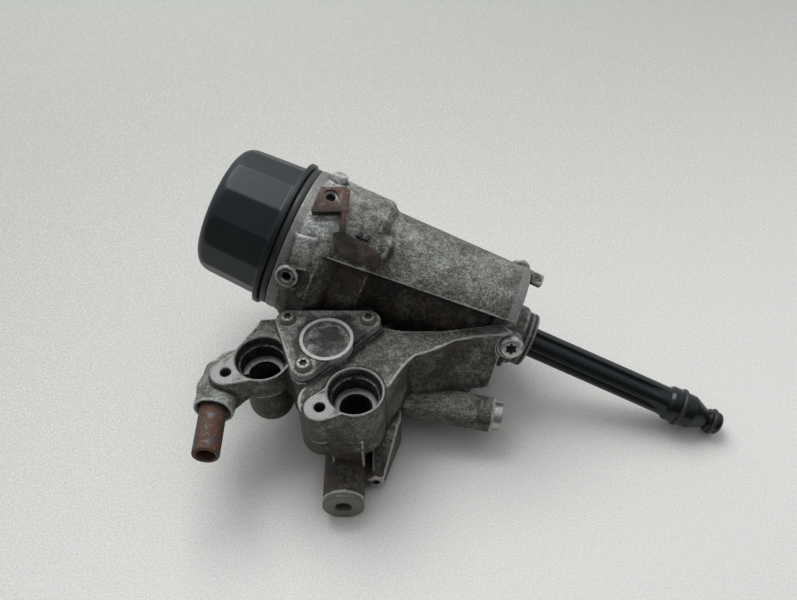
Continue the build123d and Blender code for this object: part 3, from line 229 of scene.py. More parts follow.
def split_runs(profile: np.ndarray, longest: float) -> np.ndarray:
    """Profile with extra points so that no run is longer than a length."""
    rows = [profile[:1]]
    for start, stop in zip(profile[:-1], profile[1:]):
        count = max(1, int(math.ceil(np.linalg.norm(stop - start) / longest)))
        rows.append(start + (stop - start) * np.linspace(0, 1, count + 1)[1:, None])
    return np.concatenate(rows)


def turned(
    name: str,
    place: Place,
    profile: np.ndarray,
    segments: int = 96,
    shape: Optional[Shape] = None,
) -> Piece:
    """Profile carried round an axis: x = r cos a, y = r sin a, z = h.

    Args:
        name: Name of the piece.
        place: Frame of the axis.
        profile: (n, 2) radius and height in metres, closed on itself or on the axis.
        segments: Steps round the axis.
        shape: Radius from angle, plain radius and height, for flats and flutes.

    Returns:
        The linked object.
    """
    angle = np.linspace(0, 2 * math.pi, segments, endpoint=False)[None, :]
    radius = np.repeat(profile[:, :1], segments, axis=1)
    height = np.repeat(profile[:, 1:], segments, axis=1)
    if shape is not None:
        radius = shape(angle + 0 * radius, radius, height)
    local = np.stack([radius * np.cos(angle), radius * np.sin(angle), height], axis=-1)
    rows = len(profile)
    row, column = np.meshgrid(np.arange(rows - 1), np.arange(segments), indexing="ij")
    nxt = (column + 1) % segments
    here, above = row * segments, (row + 1) * segments
    faces = np.stack([here + column, here + nxt, above + nxt, above + column], axis=-1)
    return mesh_object(name, place.out(local.reshape(-1, 3)), faces.reshape(-1, 4))


def merged_copy(node: str, name: str) -> Piece:
    """Copy of a CAD node's mesh with its doubled points merged."""
    mesh = frame["nodes"][node].data.copy()
    mesh.name = name
    mesh.materials.clear()
    piece = bpy.data.objects.new(name, mesh)
    bpy.context.scene.collection.objects.link(piece)
    work = bmesh.new()
    work.from_mesh(mesh)
    bmesh.ops.remove_doubles(work, verts=work.verts, dist=2e-6)
    work.to_mesh(mesh)
    work.free()
    return piece


def apply_modifiers(piece: Piece) -> None:
    """Turn the modified shape into the piece's own mesh."""
    bpy.context.view_layer.update()
    graph = bpy.context.evaluated_depsgraph_get()
    mesh = bpy.data.meshes.new_from_object(piece.evaluated_get(graph))
    piece.modifiers.clear()
    old = piece.data
    piece.data = mesh
    bpy.data.meshes.remove(old)
    mesh.name = piece.name


def softened_copy(node: str, name: str, width: float) -> Piece:
    """Copy of a CAD node with its sharp edges rounded by a bevel."""
    piece = merged_copy(node, name)
    work = bmesh.new()
    work.from_mesh(piece.data)
    bmesh.ops.dissolve_limit(work, angle_limit=math.radians(0.5), verts=work.verts, edges=work.edges)
    work.to_mesh(piece.data)
    work.free()
    bevel = piece.modifiers.new("soft edges", "BEVEL")
    bevel.width = width
    bevel.segments = 2
    bevel.limit_method = "ANGLE"
    bevel.angle_limit = math.radians(BEVEL_ANGLE)
    bevel.use_clamp_overlap = True
    triangles = piece.modifiers.new("triangles", "TRIANGULATE")
    triangles.min_vertices = 5
    apply_modifiers(piece)
    return piece


# Fields over a mesh


@dataclass
class Skin:
    """Arrays of a mesh and the fields worked out on them."""

    points: np.ndarray
    normals: np.ndarray
    edges: np.ndarray

    @staticmethod
    def of(mesh: bpy.types.Mesh) -> "Skin":
        """Arrays of a mesh."""
        points = np.empty(len(mesh.vertices) * 3)
        mesh.vertices.foreach_get("co", points)
        normals = np.empty(len(mesh.vertices) * 3)
        mesh.vertices.foreach_get("normal", normals)
        edges = np.empty(len(mesh.edges) * 2, np.int64)
        mesh.edges.foreach_get("vertices", edges)
        return Skin(points.reshape(-1, 3), normals.reshape(-1, 3), edges.reshape(-1, 2))

    def spread(self, field: np.ndarray, rounds: int, weight: np.ndarray | float = 0.5) -> np.ndarray:
        """Field pulled towards the mean of its neighbours, round after round.

        Args:
            field: (n,) or (n, k) values.
            rounds: Number of rounds.
            weight: Share moved in each round, one value or one for each point.

        Returns:
            The smoothed field.
        """
        count = len(self.points)
        first, second = self.edges[:, 0], self.edges[:, 1]
        degree = np.maximum(np.bincount(self.edges.ravel(), minlength=count), 1)
        value = field.reshape(count, -1).copy()
        share = np.broadcast_to(np.asarray(weight, float), (count,))
        for _ in range(rounds):
            for column in range(value.shape[1]):
                part = value[:, column]
                total = np.bincount(first, part[second], count) + np.bincount(second, part[first], count)
                value[:, column] = part + share * (total / degree - part)
        return value.reshape(field.shape)

    def height_over(self, rounds: int) -> np.ndarray:
        """Depth below the smoothed surface, positive in hollows, in metres."""
        moved = self.spread(self.points, rounds)
        return np.einsum("ij,ij->i", moved - self.points, self.normals)


def write_field(mesh: bpy.types.Mesh, name: str, values: np.ndarray) -> None:
    """Store one value for each point under a name."""
    layer = mesh.attributes.new(name, "FLOAT", "POINT")
    layer.data.foreach_set("value", np.clip(values, 0, 1).astype(np.float32))


def write_wear(piece: Piece, fine: float, broad: float, rounds: int) -> Skin:
    """Store the edge and hollow fields that wear and grime read, which also paint edge highlights and shade in
    hollows.

    Args:
        piece: Finished mesh piece.
        fine: Height of an edge that counts in full, in metres.
        broad: Depth of a hollow that counts in full, in metres.
        rounds: Smoothing rounds of the broad field.

    Returns:
        The arrays of the mesh.
    """
    skin = Skin.of(piece.data)
    near = skin.spread(skin.height_over(4), 2)
    far = skin.height_over(rounds)
    write_field(piece.data, "edge", -near / fine)
    write_field(piece.data, "hollow", near / fine * 0.6 + far / broad)
    return skin


# Shader networks


class Net:
    """Short way to write a node tree."""

    def __init__(self, tree: bpy.types.NodeTree) -> None:
        """Keep the tree."""
        self.tree = tree

    def node(self, kind: str, **inputs: object) -> bpy.types.Node:
        """Node of a kind with its sockets set or linked by name."""
        made = self.tree.nodes.new(kind)
        for key, value in inputs.items():
            self.plug(made.inputs[key.replace("_", " ")], value)
        return made

    def plug(self, socket: Socket, value: object) -> None:
        """Link a socket to another one or set its value."""
        if isinstance(value, Socket):
            self.tree.links.new(value, socket)
        elif isinstance(value, tuple) and len(value) == 3 and socket.type == "RGBA":
            socket.default_value = (*value, 1.0)
        else:
            socket.default_value = value

    def math(self, operation: str, first: object, second: object = 0.0, clamp: bool = False) -> Socket:
        """Result of one sum."""
        made = self.tree.nodes.new("ShaderNodeMath")
        made.operation = operation
        made.use_clamp = clamp
        self.plug(made.inputs[0], first)
        self.plug(made.inputs[1], second)
        return made.outputs[0]

    def rise(
        self, value: object, low: float, high: float, start: float = 0.0, stop: float = 1.0
    ) -> Socket:
        """Smooth step of a value from start to stop."""
        made = self.tree.nodes.new("ShaderNodeMapRange")
        made.interpolation_type = "SMOOTHSTEP"
        for socket, item in zip(made.inputs[:5], (value, low, high, start, stop)):
            self.plug(socket, item)
        return made.outputs[0]

    def around(self, base: object, value: object, middle: float, gain: float) -> Socket:
        """Base plus the gain times what a value has over its middle."""
        over = self.math("SUBTRACT", value, middle)
        return self.math("ADD", base, self.math("MULTIPLY", over, gain))

    def less(self, share: object, amount: float) -> Socket:
        """One less an amount of a share."""
        return self.math("SUBTRACT", 1.0, self.math("MULTIPLY", share, amount))

    def mix(self, share: object, first: object, second: object) -> Socket:
        """Colour between two colours."""
        made = self.tree.nodes.new("ShaderNodeMix")
        made.data_type = "RGBA"
        self.plug(made.inputs[0], share)
        self.plug(made.inputs[6], first)
        self.plug(made.inputs[7], second)
        return made.outputs[2]

    def blend(self, share: object, first: object, second: object) -> Socket:
        """Value between two values."""
        made = self.tree.nodes.new("ShaderNodeMix")
        made.data_type = "FLOAT"
        self.plug(made.inputs[0], share)
        self.plug(made.inputs[2], first)
        self.plug(made.inputs[3], second)
        return made.outputs[0]

    def noise(
        self, vector: object, scale: object, detail: float = 4.0, rough: float = 0.55, warp: float = 0.0
    ) -> Socket:
        """Cloud noise, 0 to 1."""
        values = {"Detail": detail, "Roughness": rough, "Distortion": warp}
        return self.node("ShaderNodeTexNoise", Vector=vector, Scale=scale, **values).outputs[0]

    def cells(self, vector: object, scale: object) -> Socket:
        """Distance to the nearest of scattered points."""
        made = self.node("ShaderNodeTexVoronoi", Vector=vector, Scale=scale)
        return made.outputs["Distance"]

    def field(self, name: str) -> Socket:
        """Value of a field stored on the mesh."""
        made = self.tree.nodes.new("ShaderNodeAttribute")
        made.attribute_name = name
        return made.outputs["Fac"]

    def stretched(self, vector: object, scale: Sequence[float]) -> Socket:
        """Vector stretched along its axes."""
        made = self.tree.nodes.new("ShaderNodeMapping")
        self.plug(made.inputs["Vector"], vector)
        made.inputs["Scale"].default_value = tuple(scale)
        return made.outputs[0]


class Effect(Enum):
    """Shared effects, each a node group built once."""

    GRAIN = "cast grain"
    WEAR = "edge wear"
    GRIME_AND_SHADE = "grime"
    RUST = "rust"
    DUST = "dust"
    MOTTLE = "mottle"


class Effects:
    """Library of the shared node groups."""

    def __init__(self) -> None:
        """Build every group."""
        self.groups: Dict[Effect, bpy.types.NodeTree] = {}
        builders = {
            Effect.GRAIN: self.grain,
            Effect.WEAR: self.wear,
            Effect.GRIME_AND_SHADE: self.grime,
            Effect.RUST: self.rust,
            Effect.DUST: self.dust,
            Effect.MOTTLE: self.mottle,
        }
        for effect, builder in builders.items():
            self.groups[effect] = builder(effect.value)

    @staticmethod
    def open_group(
        name: str, inputs: Sequence[str], outputs: Sequence[str]
    ) -> Tuple[Net, bpy.types.Node, bpy.types.Node]:
        """New group with a Vector input and named sockets.

        Args:
            name: Name of the group.
            inputs: Names of its number inputs.
            outputs: Names of its outputs: Color is a colour, the rest are numbers.

        Returns:
            The network, its input node and its output node.
        """
        tree = bpy.data.node_groups.new(name, "ShaderNodeTree")
        tree.interface.new_socket("Vector", in_out="INPUT", socket_type="NodeSocketVector")
        for item in inputs:
            tree.interface.new_socket(item, in_out="INPUT", socket_type="NodeSocketFloat")
        for item in outputs:
            kind = "NodeSocketColor" if item == "Color" else "NodeSocketFloat"
            tree.interface.new_socket(item, in_out="OUTPUT", socket_type=kind)
        return Net(tree), tree.nodes.new("NodeGroupInput"), tree.nodes.new("NodeGroupOutput")

    def grain(self, name: str) -> bpy.types.NodeTree:
        """Fine sand-like skin with pits and broad lumps."""
        net, source, sink = self.open_group(name, ("Scale", "Lumps"), ("Height", "Pits"))
        vector = source.outputs["Vector"]
        scale = source.outputs["Scale"]
        fine = net.noise(vector, scale, 5.0, 0.6)
        lumps = net.noise(vector, net.math("MULTIPLY", scale, 0.16), 3.0, 0.5)
        cells = net.cells(vector, net.math("MULTIPLY", scale, 0.35))
        pits = net.rise(cells, 0.05, 0.22, 1.0, 0.0)
        height = net.math("ADD", fine, net.math("MULTIPLY", lumps, source.outputs["Lumps"]))
        net.plug(sink.inputs["Height"], net.math("SUBTRACT", height, net.math("MULTIPLY", pits, 0.35)))
        net.plug(sink.inputs["Pits"], pits)
        return net.tree

    def wear(self, name: str) -> bpy.types.NodeTree:
        """Bare metal along edges, broken up by noise."""
        net, source, sink = self.open_group(name, ("Edge", "Amount", "Scale"), ("Mask",))
        cloud = net.noise(source.outputs["Vector"], source.outputs["Scale"], 6.0, 0.65)
        level = net.around(source.outputs["Edge"], cloud, 0.5, 1.4)
        mask = net.math("MULTIPLY", net.rise(level, 0.5, 1.0), source.outputs["Amount"], True)
        net.plug(sink.inputs["Mask"], mask)
        return net.tree

    def grime(self, name: str) -> bpy.types.NodeTree:
        """Oily dirt that gathers in hollows, together with painted shade there."""
        net, source, sink = self.open_group(name, ("Hollow", "Amount", "Scale"), ("Mask",))
        cloud = net.noise(source.outputs["Vector"], source.outputs["Scale"], 7.0, 0.62, 0.3)
        level = net.around(source.outputs["Hollow"], cloud, 0.45, 1.5)
        mask = net.math("MULTIPLY", net.rise(level, 0.12, 0.85), source.outputs["Amount"], True)
        net.plug(sink.inputs["Mask"], mask)
        return net.tree

    def rust(self, name: str) -> bpy.types.NodeTree:
        """Rust in three tones with its crusty height."""
        net, source, sink = self.open_group(name, ("Scale", "Amount"), ("Color", "Mask", "Height"))
        vector = source.outputs["Vector"]
        cloud = net.noise(vector, source.outputs["Scale"], 8.0, 0.68, 0.4)
        spots = net.noise(vector, net.math("MULTIPLY", source.outputs["Scale"], 3.1), 5.0, 0.6)
        black, red, orange = (0.018, 0.0105, 0.008), (0.1, 0.037, 0.019), (0.175, 0.085, 0.052)
        deep = net.mix(net.rise(cloud, 0.38, 0.6), black, red)
        net.plug(sink.inputs["Color"], net.mix(net.rise(spots, 0.52, 0.66), deep, orange))
        level = net.around(cloud, source.outputs["Amount"], 0.5, 1.0)
        net.plug(sink.inputs["Mask"], net.rise(level, 0.42, 0.6))
        net.plug(sink.inputs["Height"], net.math("ADD", cloud, net.math("MULTIPLY", spots, 0.5)))
        return net.tree

    def dust(self, name: str) -> bpy.types.NodeTree:
        """Pale dust on faces that look up."""
        net, source, sink = self.open_group(name, ("Amount", "Scale"), ("Mask",))
        geometry = net.tree.nodes.new("ShaderNodeNewGeometry")
        split = net.node("ShaderNodeSeparateXYZ", Vector=geometry.outputs["Normal"])
        cloud = net.noise(source.outputs["Vector"], source.outputs["Scale"], 6.0, 0.6)
        upward = net.rise(split.outputs["Z"], 0.25, 0.95)
        level = net.math("MULTIPLY", upward, net.rise(cloud, 0.35, 0.7, 0.35, 1.0))
        mask = net.math("MULTIPLY", level, source.outputs["Amount"], True)
        net.plug(sink.inputs["Mask"], mask)
        return net.tree

    def mottle(self, name: str) -> bpy.types.NodeTree:
        """Broad patches and fine specks, around 0.5."""
        net, source, sink = self.open_group(name, ("Scale", "Contrast"), ("Value", "Specks", "Sparks"))
        vector = source.outputs["Vector"]
        broad = net.noise(vector, source.outputs["Scale"], 9.0, 0.7, 0.25)
        fine = net.noise(vector, net.math("MULTIPLY", source.outputs["Scale"], 9.0), 4.0, 0.7)
        spread = net.math("MULTIPLY", net.math("SUBTRACT", broad, 0.5), source.outputs["Contrast"])
        net.plug(sink.inputs["Value"], net.math("ADD", spread, 0.5, True))
        net.plug(sink.inputs["Specks"], net.rise(fine, 0.56, 0.7))
        net.plug(sink.inputs["Sparks"], net.rise(fine, 0.44, 0.32))
        return net.tree


EFFECTS = Effects()


class Material:
    """One material: a Principled shader and the network that feeds it."""

    def __init__(self, name: str) -> None:
        """Start an empty material."""
        self.made = bpy.data.materials.new(name)
        self.made.use_nodes = True
        tree = self.made.node_tree
        tree.nodes.clear()
        self.net = Net(tree)
        self.shader = tree.nodes.new("ShaderNodeBsdfPrincipled")
        output = tree.nodes.new("ShaderNodeOutputMaterial")
        tree.links.new(self.shader.outputs[0], output.inputs["Surface"])
        self.where = tree.nodes.new("ShaderNodeTexCoord").outputs["Object"]

    def effect(self, effect: Effect, **inputs: object) -> bpy.types.Node:
        """Shared group placed in this material."""
        made = self.net.tree.nodes.new("ShaderNodeGroup")
        made.node_tree = EFFECTS.groups[effect]
        self.net.plug(made.inputs["Vector"], self.where)
        for key, value in inputs.items():
            self.net.plug(made.inputs[key], value)
        return made

    def set(self, name: str, value: object) -> None:
        """Set or link one socket of the shader."""
        self.net.plug(self.shader.inputs[name], value)

    def bump(self, height: object, depth: float, strength: float) -> None:
        """Relief of a depth in metres."""
        made = self.net.node("ShaderNodeBump", Height=height, Distance=depth, Strength=strength)
        self.set("Normal", made.outputs[0])


# Finishes


@dataclass(frozen=True)
class CastFinish:
    """Dull die-cast aluminium with machined faces, grime with painted shade in hollows, and worn edges that also
    paint highlights.
    """

    clean_and_lit: Colour = (0.275, 0.29, 0.268)
    dull: Colour = (0.084, 0.08, 0.067)
    grime: Colour = (0.011, 0.0095, 0.0075)
    bare: Colour = (0.27, 0.272, 0.265)
    # pale edge colour, for wear and for painted highlights along edges
    worn: Colour = (0.5, 0.51, 0.49)
    bright: Colour = (0.58, 0.59, 0.565)
    brown: Colour = (0.075, 0.038, 0.018)
    scored: Colour = (0.11, 0.11, 0.104)
    spots: Colour = (0.06, 0.055, 0.048)
    mottles: Tuple[Tuple[float, float, float], ...] = (  # scale, contrast and weight of each layer
        (30.0, 4.2, 0.5),
        (100.0, 3.6, 0.5),
        (400.0, 3.6, 0.42),
        (950.0, 4.2, 0.72),
    )

    def material(self) -> Look:
        """Build the material."""
        m = Material("cast aluminium")
        net = m.net
        machined = net.field("machined")
        level = net.field("tone")
        groups: List[bpy.types.Node] = []
        for scale, contrast, weight in self.mottles:
            groups.append(m.effect(Effect.MOTTLE, Scale=scale, Contrast=contrast))
            level = net.around(level, groups[-1].outputs["Value"], 0.5, weight)
        fine, finer = groups[1], groups[2]
        # The tone holds painted light and painted shade, so its dark end paints shade and its light end paints
        # light.
        skin = net.mix(net.rise(level, 0.0, 0.36), self.grime, self.dull)
        skin = net.mix(net.rise(level, 0.34, 1.06), skin, self.clean_and_lit)
        skin = net.mix(net.rise(level, 1.08, 1.45), skin, self.bright)
        skin = net.mix(net.math("MULTIPLY", fine.outputs["Sparks"], 0.22), skin, self.clean_and_lit)
        skin = net.mix(net.math("MULTIPLY", fine.outputs["Specks"], 0.3), skin, self.grime)
        grain = m.effect(Effect.GRAIN, Scale=900.0, Lumps=0.8)
        skin = net.mix(net.math("MULTIPLY", grain.outputs["Pits"], 0.2), skin, self.grime)
        broken = net.rise(net.noise(m.where, 130.0, 7.0, 0.7), 0.45, 0.6)
        brown = net.math("MULTIPLY", net.field("stain"), broken)
        skin = net.mix(net.math("MULTIPLY", brown, 0.8), skin, self.brown)
        # Darkening in hollows: grime together with painted shade.
        dirt_and_hollow_shade = m.effect(Effect.GRIME_AND_SHADE, Hollow=net.field("hollow"), Amount=0.92, Scale=140.0)
        # Pale worn edges, which also paint highlights along ridges and rims.
        worn = m.effect(Effect.WEAR, Edge=net.field("edge"), Amount=0.85, Scale=330.0)
        lines = net.noise(net.stretched(m.where, (1, 1, 0.12)), 2600.0, 3.0, 0.6)
        metal = net.mix(net.rise(lines, 0.35, 0.65), self.scored, self.bare)
        spots = net.math("MAXIMUM", fine.outputs["Specks"], finer.outputs["Specks"])
        metal = net.mix(net.math("MULTIPLY", spots, 0.8), metal, self.spots)
        skin = net.mix(worn.outputs["Mask"], skin, self.worn)
        skin = net.mix(machined, skin, metal)
        cover = net.math("MULTIPLY", dirt_and_hollow_shade.outputs["Mask"], net.less(machined, 0.35))
        skin = net.mix(cover, skin, self.grime)
        m.set("Base Color", skin)
        smooth = net.math("MAXIMUM", machined, net.math("MULTIPLY", worn.outputs["Mask"], 0.6))
        m.set("Metallic", net.blend(smooth, 0.15, 0.38))
        oily = net.rise(level, 0.3, 0.0, 0.62, 0.4)
        m.set("Roughness", net.blend(smooth, oily, 0.46))
        m.bump(net.math("MULTIPLY", grain.outputs["Height"], net.less(machined, 0.85)), 0.0008, 1.0)
        return m.made


@dataclass(frozen=True)
class PlasticFinish:
    """Moulded plastic, from satin to glossy, with scuffs and dust."""

    name: str
    colour: Colour
    rough: float
    scuffs: float = 0.15
    dust: float = 0.1
    grain: float = 0.00002

    def material(self) -> Look:
        """Build the material."""
        m = Material(self.name)
        net = m.net
        mottle = m.effect(Effect.MOTTLE, Scale=60.0, Contrast=2.0)
        pale = tuple(min(1.0, 0.035 + 1.8 * value) for value in self.colour)
        dust = m.effect(Effect.DUST, Amount=self.dust, Scale=140.0)
        worn = m.effect(Effect.WEAR, Edge=net.field("edge"), Amount=self.scuffs, Scale=300.0)
        skin = net.mix(net.math("MULTIPLY", mottle.outputs["Value"], 0.08), self.colour, pale)
        skin = net.mix(net.math("MAXIMUM", dust.outputs["Mask"], worn.outputs["Mask"]), skin, pale)
        m.set("Base Color", skin)
        m.set("Specular IOR Level", 0.38)
        m.set("Specular Tint", (0.86, 0.96, 1.0))
        streaks = net.noise(net.stretched(m.where, (0.2, 1, 1)), 500.0, 4.0, 0.6)
        base = net.rise(streaks, 0.3, 0.75, self.rough - 0.015, self.rough + 0.03)
        dull = net.math("MULTIPLY", dust.outputs["Mask"], 0.3)
        m.set("Roughness", net.math("ADD", base, dull, True))
        grain = m.effect(Effect.GRAIN, Scale=2200.0, Lumps=0.4)
        m.bump(grain.outputs["Height"], self.grain, 0.6)
        return m.made


@dataclass(frozen=True)
class SteelFinish:
    """Steel, bright or plated, with an amount of rust."""

    name: str
    colour: Colour
    rough: float = 0.32
    rust: float = 0.1
    metallic: float = 0.85
    depth: float = 0.00006
    # dark colour of hollows: dirt and painted shade
    dirt_and_hollow_shade: Colour = (0.014, 0.011, 0.009)
    # dark colour of painted shade, in the plug's socket and on the bracket's flap
    painted_shade: Colour = (0.013, 0.0105, 0.009)

    def material(self) -> Look:
        """Build the material."""
        m = Material(self.name)
        net = m.net
        rust = m.effect(Effect.RUST, Scale=260.0, Amount=self.rust)
        # Darkening in hollows: dirt together with painted shade.
        dirt_and_hollow_shade = m.effect(Effect.GRIME_AND_SHADE, Hollow=net.field("hollow"), Amount=0.8, Scale=260.0)
        worn = m.effect(Effect.WEAR, Edge=net.field("edge"), Amount=0.5, Scale=400.0)
        lines = net.noise(net.stretched(m.where, (1, 0.15, 1)), 3000.0, 3.0, 0.6)
        dark = tuple(0.62 * value for value in self.colour)
        bare = tuple(min(1.0, 1.35 * value) for value in self.colour)
        skin = net.mix(net.rise(lines, 0.3, 0.7), dark, self.colour)
        skin = net.mix(worn.outputs["Mask"], skin, bare)
        skin = net.mix(rust.outputs["Mask"], skin, rust.outputs["Color"])
        skin = net.mix(dirt_and_hollow_shade.outputs["Mask"], skin, self.dirt_and_hollow_shade)
        # Painted shade from a stored field, broken up by noise.
        broken = net.rise(net.noise(m.where, 150.0, 6.0, 0.65), 0.36, 0.58, 0.5, 1.0)
        skin = net.mix(net.math("MULTIPLY", net.field("painted_shade"), broken), skin, self.painted_shade)
        m.set("Base Color", skin)
        cover = net.math("MAXIMUM", rust.outputs["Mask"], dirt_and_hollow_shade.outputs["Mask"])
        m.set("Metallic", net.blend(cover, self.metallic, 0.0))
        m.set("Roughness", net.blend(cover, self.rough, 0.78))
        m.bump(rust.outputs["Height"], self.depth, 0.8)
        return m.made


@dataclass(frozen=True)
class RubberFinish:
    """Black rubber with a thin film of oil."""

    name: str = "black rubber"
    colour: Colour = (0.012, 0.012, 0.0125)
    worn: Colour = (0.03, 0.03, 0.029)

    def material(self) -> Look:
        """Build the material."""
        m = Material(self.name)
        net = m.net
        mottle = m.effect(Effect.MOTTLE, Scale=120.0, Contrast=2.0)
        share = net.math("MULTIPLY", mottle.outputs["Value"], 0.5)
        m.set("Base Color", net.mix(share, self.colour, self.worn))
        m.set("Roughness", net.rise(mottle.outputs["Value"], 0.2, 0.8, 0.38, 0.58))
        grain = m.effect(Effect.GRAIN, Scale=2600.0, Lumps=0.3)
        m.bump(grain.outputs["Height"], 0.00002, 0.6)
        return m.made


@dataclass(frozen=True)
class PaperFinish:
    """Folded filter paper soaked with oil."""

    name: str = "filter paper"
    dry: Colour = (0.42, 0.3, 0.14)
    soaked: Colour = (0.09, 0.055, 0.022)

    def material(self) -> Look:
        """Build the material."""
        m = Material(self.name)
        net = m.net
        mottle = m.effect(Effect.MOTTLE, Scale=45.0, Contrast=3.0)
        m.set("Base Color", net.mix(mottle.outputs["Value"], self.soaked, self.dry))
        m.set("Roughness", net.rise(mottle.outputs["Value"], 0.2, 0.8, 0.5, 0.85))
        grain = m.effect(Effect.GRAIN, Scale=1800.0, Lumps=0.6)
        m.bump(grain.outputs["Height"], 0.00005, 0.8)
        return m.made


@dataclass(frozen=True)
class TableFinish:
    """Pale speckled table that the part lies on."""

    name: str = "pale table"
    low: Colour = (0.47, 0.475, 0.45)
    high: Colour = (0.79, 0.78, 0.75)
    dark: Colour = (0.36, 0.36, 0.34)
    light: Colour = (0.98, 0.98, 0.96)

    def material(self) -> Look:
        """Build the material."""
        m = Material(self.name)
        net = m.net
        split = net.node("ShaderNodeSeparateXYZ", Vector=m.where)
        # Painted light: the table gets lighter towards the front and the right.
        near = net.math("MULTIPLY", split.outputs["Y"], -1.0)
        toward = net.math("SUBTRACT", near, net.math("MULTIPLY", split.outputs["X"], -0.5))
        base = net.mix(net.rise(toward, -0.42, 0.25), self.low, self.high)
        fine = net.noise(m.where, 900.0, 3.0, 0.8)
        strong = net.rise(toward, -0.25, 0.2, 1.0, 0.35)
        dark = net.math("MULTIPLY", net.rise(fine, 0.42, 0.6), net.math("MULTIPLY", strong, 0.62))
        specks = net.rise(net.cells(m.where, 700.0), 0.35, 0.1)
        light = net.math("MULTIPLY", specks, net.math("MULTIPLY", strong, 0.4))
        base = net.mix(light, net.mix(dark, base, self.dark), self.light)
        m.set("Base Color", base)
        m.set("Roughness", 0.5)
        m.bump(net.noise(m.where, 700.0, 4.0, 0.7), 0.00025, 0.6)
        return m.made


# Sub-assemblies


def dress(piece: Piece, material: Look, body: Body, slot: str, *nodes: str) -> Piece:
    """Give a piece its material and body, and hide the nodes it stands for.

    Args:
        piece: Finished mesh piece.
        material: Its material.
        body: Body that it rides on.
        slot: Material slot of the record, not used.
        nodes: CAD nodes that it replaces.

    Returns:
        The piece.
    """
    piece.data.materials.clear()
    piece.data.materials.append(material)
    piece.data.polygons.foreach_set("use_smooth", np.ones(len(piece.data.polygons), bool))
    piece.data.update()
    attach(piece, body.value)
    if nodes:
        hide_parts(*nodes)
    LOG.info("%s: %d faces on %s", piece.name, len(piece.data.polygons), body.value)
    return piece


def crisp(piece: Piece, angle: float) -> None:
    """Keep edges sharper than an angle crisp in smooth shading."""
    work = bmesh.new()
    work.from_mesh(piece.data)
    limit = math.radians(angle)
    for edge in work.edges:
        if len(edge.link_faces) == 2 and edge.calc_face_angle(0.0) > limit:
            edge.smooth = False
    work.to_mesh(piece.data)
    work.free()


@dataclass(frozen=True)
class CastTones:
    """Lightness of the cast skin and what each area adds to it or takes away, painted light on the bowl's top and
    on upward faces, painted shade under the bowl, in the recess and in the port bores.
    """

    plain: float = 0.39
    crown: float = 0.2
    neck: float = 0.62
    arm: float = 0.42
    ledge: float = 0.16
    wing: float = 0.3
    recess: float = 0.31
    under: float = 0.1
    front: float = 0.08
    foot: float = 0.13
    # tone of the port bores: painted shade together with oil
    oil: float = 0.0
    stain: float = 0.2
    front_stain: float = 0.65
    recess_stain: float = 0.4


